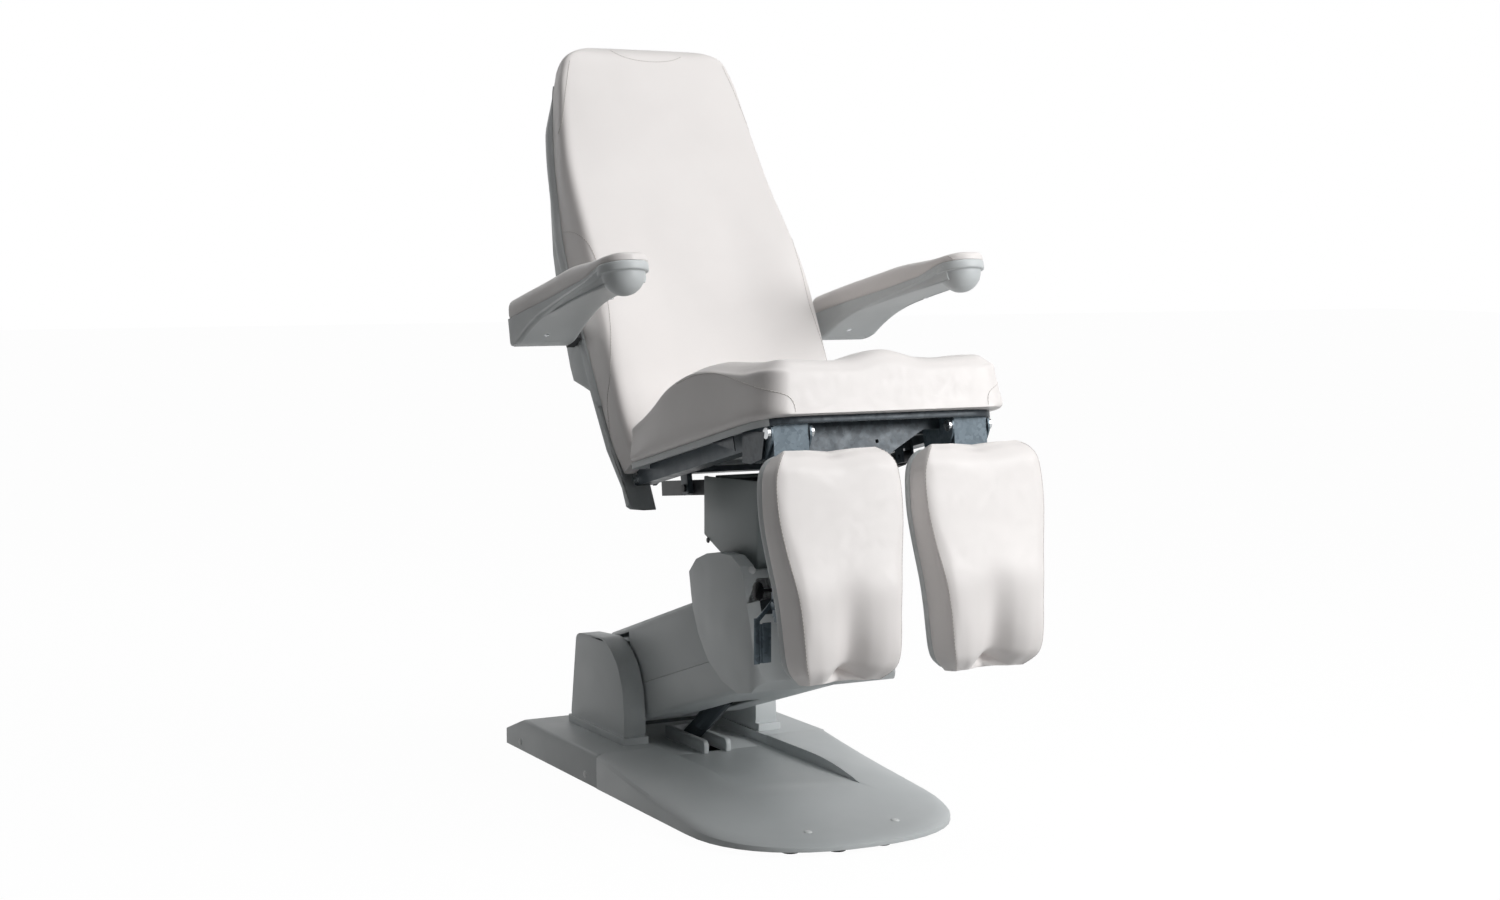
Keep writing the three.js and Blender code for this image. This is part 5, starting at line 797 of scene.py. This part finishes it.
# Release levers: a bent rod comes out of the tray and carries a paddle folded from two
# leaves of galvanised sheet, drawn in the lighter copy with painted highlight.
def bar(tool, start, end, wide, thick):
    start, end = Vector(start), Vector(end)
    along = (end - start).normalized()
    out = Vector((0, 1, 0))
    sideways = along.cross(out).normalized() * wide / 2
    rows = []
    for point in (start, end):
        rows.append([tool.verts.new(point + sideways * a + out * thick / 2 * b)
                     for a, b in ((1, 1), (1, -1), (-1, -1), (-1, 1))])
    for i in range(4):
        after = (i + 1) % 4
        tool.faces.new((rows[0][i], rows[0][after], rows[1][after], rows[1][i]))
    tool.faces.new(list(reversed(rows[0])))
    tool.faces.new(rows[1])


lever_bars = (((0.232, -0.535, 0.512), (0.273, -0.545, 0.477), 0.008, 0.004),
              ((0.275, -0.545, 0.481), (0.275, -0.545, 0.395), 0.012, 0.0025),
              ((0.256, -0.548, 0.472), (0.256, -0.548, 0.397), 0.018, 0.0025),
              ((0.267, -0.5465, 0.470), (0.267, -0.5465, 0.397), 0.006, 0.0022))
for hand, side in (("left", 1), ("right", -1)):
    tool = bmesh.new()
    for (x0, y0, z0), (x1, y1, z1), wide, thick in lever_bars:
        bar(tool, (side * x0, y0, z0), (side * x1, y1, z1), wide, thick)
    bmesh.ops.recalc_face_normals(tool, faces=tool.faces)
    bmesh.ops.bevel(tool, geom=list(tool.edges), offset=0.0007, segments=2, affect="EDGES",
                    profile=0.5)
    for face in tool.faces:
        face.smooth = True
    lever = built(tool, f"folded_lever_{hand}", painted_highlight_zinc)
    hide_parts(f"release_lever_{hand}")
    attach(lever, f"release_lever_{hand}")


# Back: a grey moulded shell carries the white cushion, drawn in at the head; the
# lower sides of the cushion swell forward to hold the sitter.
back_lean, back_held = 29.4, -0.006
back_place = tilted(back_hinge, back_lean)
back_length, back_half, back_margin, back_depth, back_foot, rear_inset = 1027, 272, 4, 72, 10, 0.4
shell_length, shell_bend_start, shell_cut = 1.045, 0.7, 0.26
rim_start, rim_length, rim_depth, rim_join = 170, 785, 24, 60
back_width_along = following([(0, 0.92), (0.05, 0.965), (0.19, 0.995), (0.33, 1), (0.54, 0.985),
                              (0.645, 0.957), (0.75, 0.922), (0.86, 0.86), (0.94, 0.795),
                              (0.975, 0.715), (1, 0.5)])
back_wing_along = following([(0, 8), (0.2, 16), (0.32, 26), (0.43, 32), (0.54, 22), (0.65, 6),
                             (0.72, 0), (1, 0)])
back_bend_along = following([(0, 0), (0.25, 2), (0.45, 10), (0.65, 16), (0.8, 10), (0.9, -2),
                             (1, -14)])
back_edge_along = following([(0, 0.85), (0.35, 0.8), (0.6, 0.7), (0.8, 0.8), (0.9, 0.88),
                             (1, 0.7)])
back_lead_along = following([(0, 0), (0.3, 4), (0.45, 6), (0.65, 10), (0.8, 9), (0.9, 6),
                             (1, 4)])
back_shell = worked("back_shell", "back", cover_plastic, 0.002)
to_back = back_place.inverted()
for vertex in back_shell.data.vertices:
    there = to_back @ vertex.co
    there.y += back_bend_along(there.z / shell_length) / 1000
    there.z -= max(0, there.z - shell_bend_start) * shell_cut
    vertex.co = back_place @ there


def tuck_along(share):
    return 9 * smooth_step(0.5, 0.72, share)


def back_ring(share):
    s = back_foot + share * (back_length - back_foot)
    up = s / back_length
    half = back_half * back_width_along(up) - back_margin
    end = min(1, min(share + 0.008, 1.008 - share) * 24)
    deep = (back_depth + back_lead_along(up)) * (0.3 + 0.7 * math.sqrt(end * (2 - end)))
    wing, bend, tuck = back_wing_along(up), back_bend_along(up), tuck_along(up)
    keep = back_edge_along(share)
    ring = []
    for u in over_top(28):
        side = abs(u)
        roll = rounded(side, 0.9, 0.1)
        swell = wing * smooth_step(0.3, 0.95, side)
        ring.append((half * u, bend - (deep + swell) * (keep + (1 - keep) * roll), s))
    edge = ring[-1][1] - bend
    for part in (0.66, 0.33, 0.05):
        ring.append((half - tuck * (1 - part)**2, bend + edge * part - rear_inset, s))
    for inward in evenly_back(20):
        ring.append(((half - tuck) * 0.97 * inward, bend - rear_inset, s))
    for part in (0.05, 0.33, 0.66):
        ring.append((tuck * (1 - part)**2 - half, bend + edge * part - rear_inset, s))
    return ring


def back_rim_ring(share):
    s = rim_start + share * rim_length
    up = s / back_length
    half = back_half * back_width_along(up) - back_margin - tuck_along(up)
    bend = back_bend_along(up)
    kept = smooth_step(1.0, 0.86, share)
    out = (9 + 5 * smooth_step(0.35, 0.6, share)) * kept - 6
    deep = rim_depth * smooth_step(0, 0.08, share) * kept + 2
    side = [(half + 1, -8), (half + out, -3), (half + out + 2, deep * 0.35),
            (half + out, deep * 0.7), (half - 4, deep * 0.92), (half - 16, deep),
            (half - rim_join, deep)]
    return ([(x, bend + y, s) for x, y in side] + [(0, bend + deep, s)]
            + [(-x, bend + y, s) for x, y in reversed(side)]
            + [((half - 4) * (i / 6 - 1), bend - 3, s) for i in range(1, 12)])


back_rim = ring_skin("back_shell_rim", [back_rim_ring(i / 60) for i in range(61)], back_place,
                     cover_plastic)
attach(back_rim, "back")
back_cushion = ring_skin("back_upholstery", [back_ring(share) for share in close_at_ends(92)],
                         back_place, white_cover)
plumped(back_cushion, wide_plump, lambda point: (back_place.inverted() @ point).y > back_held)
refined(back_cushion)
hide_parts("back_cushion")
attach(back_cushion, "back")
back_cover = cover_of(back_cushion)
head_seam = seen_line(back_cover, [(569.6, 60.6), (567.5, 75), (565.5, 91), (563.5, 112),
                                   (561, 128), (557, 136)])
side_seam = seen_line(back_cover, [(563.5, 232), (573, 231.4), (581, 236), (589, 244),
                                   (594, 254.5), (600, 272), (605, 290), (609, 308), (611, 333),
                                   (611, 359), (610, 379), (607, 398), (607.5, 412), (609, 425),
                                   (611, 442)])
top_seam = seen_line(back_cover, [(611, 51), (619, 55.5), (630, 59), (641, 61), (652, 62),
                                  (662, 62), (671, 61), (678, 59), (683, 55.5)])
sewn("back_seams", both_hands(back_cover, head_seam, side_seam)
     + [laid_line(back_cover, top_seam)], "back")


# Armrests: a grey moulded shell hung on its pivot, hollowed along a slanting ridge on
# both sides, with a round rim and a ball at the front end. A white pad lies on top and
# rounds off over the rim.
arm_pivot = tilted((0, 0.25751, 0.9749), seat_tilt)
arm_centre_along = following([(0, 0), (0.3, 0.2), (0.6, 0.75), (1, 1)])
arm_width_along = following([(0, 0), (0.2, 0.15), (0.5, 0.8), (0.8, 1), (1, 1)])
arm_bottom_along = following([(0, 0), (0.085, 0.03), (0.16, 0.4), (0.23, 0.7), (0.345, 1), (1, 1)])
arm_fold_along = following([(0, 0.05), (0.04, 0.1), (0.3, 0.4), (0.5, 0.57), (0.65, 0.68),
                            (0.8, 0.8), (1, 0.86)])
arm_ridge_along = following([(0, 0), (0.25, 0.01), (0.34, 0.08), (0.45, 0.24), (0.6, 0.44),
                             (0.75, 0.63), (0.86, 0.76), (1, 0.82)])
arm_offset, arm_spread, ball_forward, arm_end = 366, 19, -481, 14
arm_length, arm_half, arm_narrowing, arm_low, arm_rise = 545, 66, 17, -22, 31
pad_inset, pad_narrowing, pad_high, pad_drop, edge_radius = 1, 16, 80, 18, 9
end_radius, lip_start, lip_width, squareness = 49.4, 36, 13.6, 0.4


def arm_centre(share):
    return arm_offset + arm_spread * arm_centre_along(share)


def arm_top(share):
    return 37 + 8.6 * smooth_step(0.74, 0.9, share)


def arm_hollow(share, up):
    fold, ridge = arm_fold_along(share), arm_ridge_along(share)
    begin = smooth_step(0.05, 0.2, share)
    if up >= fold:
        return 1.5 * begin
    if up >= ridge:
        return 1.5 * begin - 2.5 * (fold - up) / max(0.02, fold - ridge)
    deep = 8 * smooth_step(0.24, 0.5, share) + 6 * smooth_step(0.7, 0.85, share)
    return deep * smooth_step(ridge, ridge - 0.22, up) - begin


def arm_body_ring(share, side):
    centre, top, y = arm_centre(share), arm_top(share), arm_end - share * arm_length
    rear = min(1, (share + 0.003) / 0.022)
    taper = 1 - math.sqrt(rear * (2 - rear))
    half = arm_half - arm_narrowing * arm_width_along(share) - edge_radius * taper
    low = arm_low + arm_rise * arm_bottom_along(share) + 6 * taper
    outer = []
    for i in range(25):
        up = 1 - i / 24
        z = low + (top - low) * up
        corner = max(0, edge_radius - (z - low))
        round_in = edge_radius - math.sqrt(max(0, edge_radius**2 - corner * corner))
        outer.append((arm_hollow(share, up) + round_in, z))
    ring = [(side * (centre + half - inset), y, z) for inset, z in outer]
    ring += [(side * (centre + (half - edge_radius) * inward), y, low)
             for inward in evenly_back(6)]
    ring += [(side * (centre - half + inset * 0.6), y, z) for inset, z in reversed(outer)]
    ring += [(side * (centre - half + half * i / 5), y, top) for i in range(1, 10)]
    return ring


def arm_pad_ring(share, side):
    centre, low = arm_centre(share), arm_top(share)
    y = arm_end - pad_inset - share * (arm_length - 1.5 * pad_inset)
    rear = min(1, (share + 0.002) / 0.03)
    soft = math.sqrt(rear * (2 - rear))
    half = arm_half - pad_inset - pad_narrowing * arm_width_along(share) - 12 * (1 - soft)
    past = ball_forward - y
    if past > 0:
        half = math.sqrt(max(4, end_radius**2 - past * past))
    high = pad_high - pad_drop * smooth_step(0.55, 0.94, share) - 16 * (1 - soft)
    lip = math.sqrt(max(0, 1 - (max(0, past - lip_start) / lip_width)**2))
    high = low + 4 + (high - low - 4) * (0.35 + 0.65 * lip)
    ring = []
    for i in range(41):
        turn = math.pi * i / 40
        out, up = math.cos(turn), math.sin(turn)
        ring.append((side * (centre + half * math.copysign(abs(out)**squareness, out)), y,
                     low + (high - low) * up**0.42))
    return ring + [(side * (centre - half + half * i / 8), y, low) for i in range(1, 16)]


arm_covers = {}
arm_body_shares = [0, 0.004, 0.01, 0.018, 0.028] + [0.04 + 0.89 * i / 56 for i in range(57)]
arm_pad_shares = close_at_ends(80)
ball_offset, ball_radius, ball_up = arm_offset + arm_spread, 42, 27
ball_profile = [(ball_radius * math.sin(math.pi / 2 * i / 20),
                 ball_up - ball_radius * math.cos(math.pi / 2 * i / 20)) for i in range(1, 20)]
ball_rim = [(42, 26.2), (43, 27.4), (47.4, 27.6), (49.2, 28.6), (50, 30.6), (50, 42.4),
            (49.4, 44.4), (48, 45.4), (30, 45.4), (4, 45.4)]
for hand, side in (("left", 1), ("right", -1)):
    arm_body = ring_skin(f"armrest_body_{hand}",
                         [arm_body_ring(share, side) for share in arm_body_shares],
                         arm_pivot, cover_plastic)
    ball_rings = []
    for radius, level in ball_profile + ball_rim:
        ball_rings.append([(side * (ball_offset + radius * math.cos(math.pi * i / 32)),
                            ball_forward + radius * math.sin(math.pi * i / 32), level)
                           for i in range(64)])
    arm_ball = ring_skin(f"armrest_ball_{hand}", ball_rings, arm_pivot, cover_plastic)
    tool = bmesh.new()
    tool.from_mesh(arm_body.data)
    tool.from_mesh(arm_ball.data)
    shaded(tool, 40)
    tool.to_mesh(arm_body.data)
    tool.free()
    bpy.data.objects.remove(arm_ball)
    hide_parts(f"armrest_shell_{hand}")
    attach(arm_body, f"armrest_{hand}")
    arm_covers[hand] = cover_of(arm_body)
    arm_pad = ring_skin(f"armrest_upholstery_{hand}",
                        [arm_pad_ring(share, side) for share in arm_pad_shares],
                        arm_pivot, white_cover)
    refined(arm_pad)
    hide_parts(f"armrest_pad_{hand}")
    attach(arm_pad, f"armrest_{hand}")
    if hand == "left":
        pad_cover = cover_of(arm_pad)
        pad_seam = seen_line(pad_cover, [(945, 255), (950, 257.5), (954.7, 260)])
        sewn("armrest_seam_left", [laid_line(pad_cover, pad_seam)], "armrest_left")


# Screw heads and caps: dome heads and round plastic caps set on the surface they hold,
# each placed on the cover under it and turned to face out of it.
def heads(name, spots, radius, height, finish, body):
    tree, entry, leave, node, link = open_tree(name, ())
    dome = node("GeometryNodeMeshUVSphere")
    given(dome, {"Segments": 20, "Rings": 10, "Radius": 1})
    facing = node("GeometryNodeInputNamedAttribute")
    facing.data_type = "FLOAT_VECTOR"
    given(facing, {"Name": "facing"})
    turn = node("FunctionNodeAlignRotationToVector")
    turn.axis = "Z"
    link(facing.outputs["Attribute"], turn.inputs["Vector"])
    copies = node("GeometryNodeInstanceOnPoints")
    given(copies, {"Scale": (radius, radius, height)})
    link(entry.outputs["Geometry"], copies.inputs["Points"])
    link(dome.outputs["Mesh"], copies.inputs["Instance"])
    link(turn.outputs["Rotation"], copies.inputs["Rotation"])
    real = node("GeometryNodeRealizeInstances")
    link(copies.outputs["Instances"], real.inputs["Geometry"])
    finished = node("GeometryNodeSetMaterial")
    given(finished, {"Material": finish})
    link(real.outputs["Geometry"], finished.inputs["Geometry"])
    link(finished.outputs["Geometry"], leave.inputs["Geometry"])
    mesh = bpy.data.meshes.new(name)
    mesh.from_pydata([tuple(place) for place, _ in spots], [], [])
    mesh.attributes.new("facing", "FLOAT_VECTOR", "POINT").data.foreach_set(
        "vector", [value for _, out in spots for value in out])
    piece = placed(name, mesh)
    piece.modifiers.new("heads", "NODES").node_group = tree
    plain(piece)
    for polygon in piece.data.polygons:
        polygon.use_smooth = True
    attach(piece, body)


def seen_spots(cover, pixels):
    spots = []
    for x, y in pixels:
        ray = ray_through(x, y)
        place, facing, _, _ = cover.ray_cast(Vector(camera_place), ray)
        if place is not None:
            spots.append((place, facing if facing.dot(ray) < 0 else -facing))
    return spots


pale_cap = surface("pale_cap", linear(238, 240, 240), 0.4)
both_sides = (Vector((1, 0, 0)), Vector((-1, 0, 0)))
base_side, skirt_side = 0.2798, 0.1199
heads("base_side_caps", [(Vector((out.x * base_side, y, 0.0295)), out)
                         for out in both_sides for y in (0.601, 0.232)],
      0.0085, 0.0022, pale_cap, "base")
heads("skirt_bolts", [(Vector((out.x * skirt_side, -0.040, 0.559)), out) for out in both_sides],
      0.006, 0.003, dull_black, "head")
for hand, pixels in (("right", [(547, 335), (611, 299)]), ("left", [(926, 298), (849, 330)])):
    heads(f"armrest_screws_{hand}", seen_spots(arm_covers[hand], pixels), 0.006, 0.0012,
          ground_steel, f"armrest_{hand}")
heads("tongue_caps", seen_spots(cover_of(base_cover), [(808, 832), (895, 820)]),
      0.0085, 0.0024, pale_cap, "base")
heads("head_cap", seen_spots(cover_of(head_shell), [(752, 570)]), 0.008, 0.002, pale_cap,
      "head")


# Hinge plates on the seat frame: an ear plate and a wedge plate behind it on each side
# hold the leg rests' hinge, folded from steel sheet.
def plates(name, outlines, finish, body):
    tool = bmesh.new()
    for outline, x, thick in outlines:
        near, far = ([tool.verts.new((out, y / 1000 + seam_to_middle, z / 1000))
                      for y, z in outline] for out in (x, x + thick))
        tool.faces.new(near)
        tool.faces.new(list(reversed(far)))
        for i in range(len(near)):
            after = (i + 1) % len(near)
            tool.faces.new((near[i], far[i], far[after], near[after]))
    bmesh.ops.recalc_face_normals(tool, faces=tool.faces)
    piece = built(tool, name, finish)
    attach(piece, body)


wedge = [(-470, 788), (-583, 778), (-570, 816)]
ear = [(-605, 817), (-605, 757), (-641, 758), (-681, 770), (-692, 821)]
sheet = 0.002
plates("hinge_plates", [(outline, side * x, side * sheet)
                        for outline, x in ((wedge, 0.2485), (ear, 0.2440)) for side in (1, -1)],
       zinc, "seat")


# Painted shade under the lift actuator's slot: a black floor sheet and a rear wall close the
# base below it and stand in for the shade deep in the slot, so no daylight shows through it.
# The sheets are black as painted shade for the inside of the slot.
shade_sheet_half = 0.170
plates("painted_shade_slot_sheets", [([(-40, 10), (180, 10), (180, 14), (-40, 14)], -shade_sheet_half, 2 * shade_sheet_half),
                     ([(172, 10), (180, 10), (180, 50), (172, 50)], -shade_sheet_half, 2 * shade_sheet_half)],
       dull_black, "base")
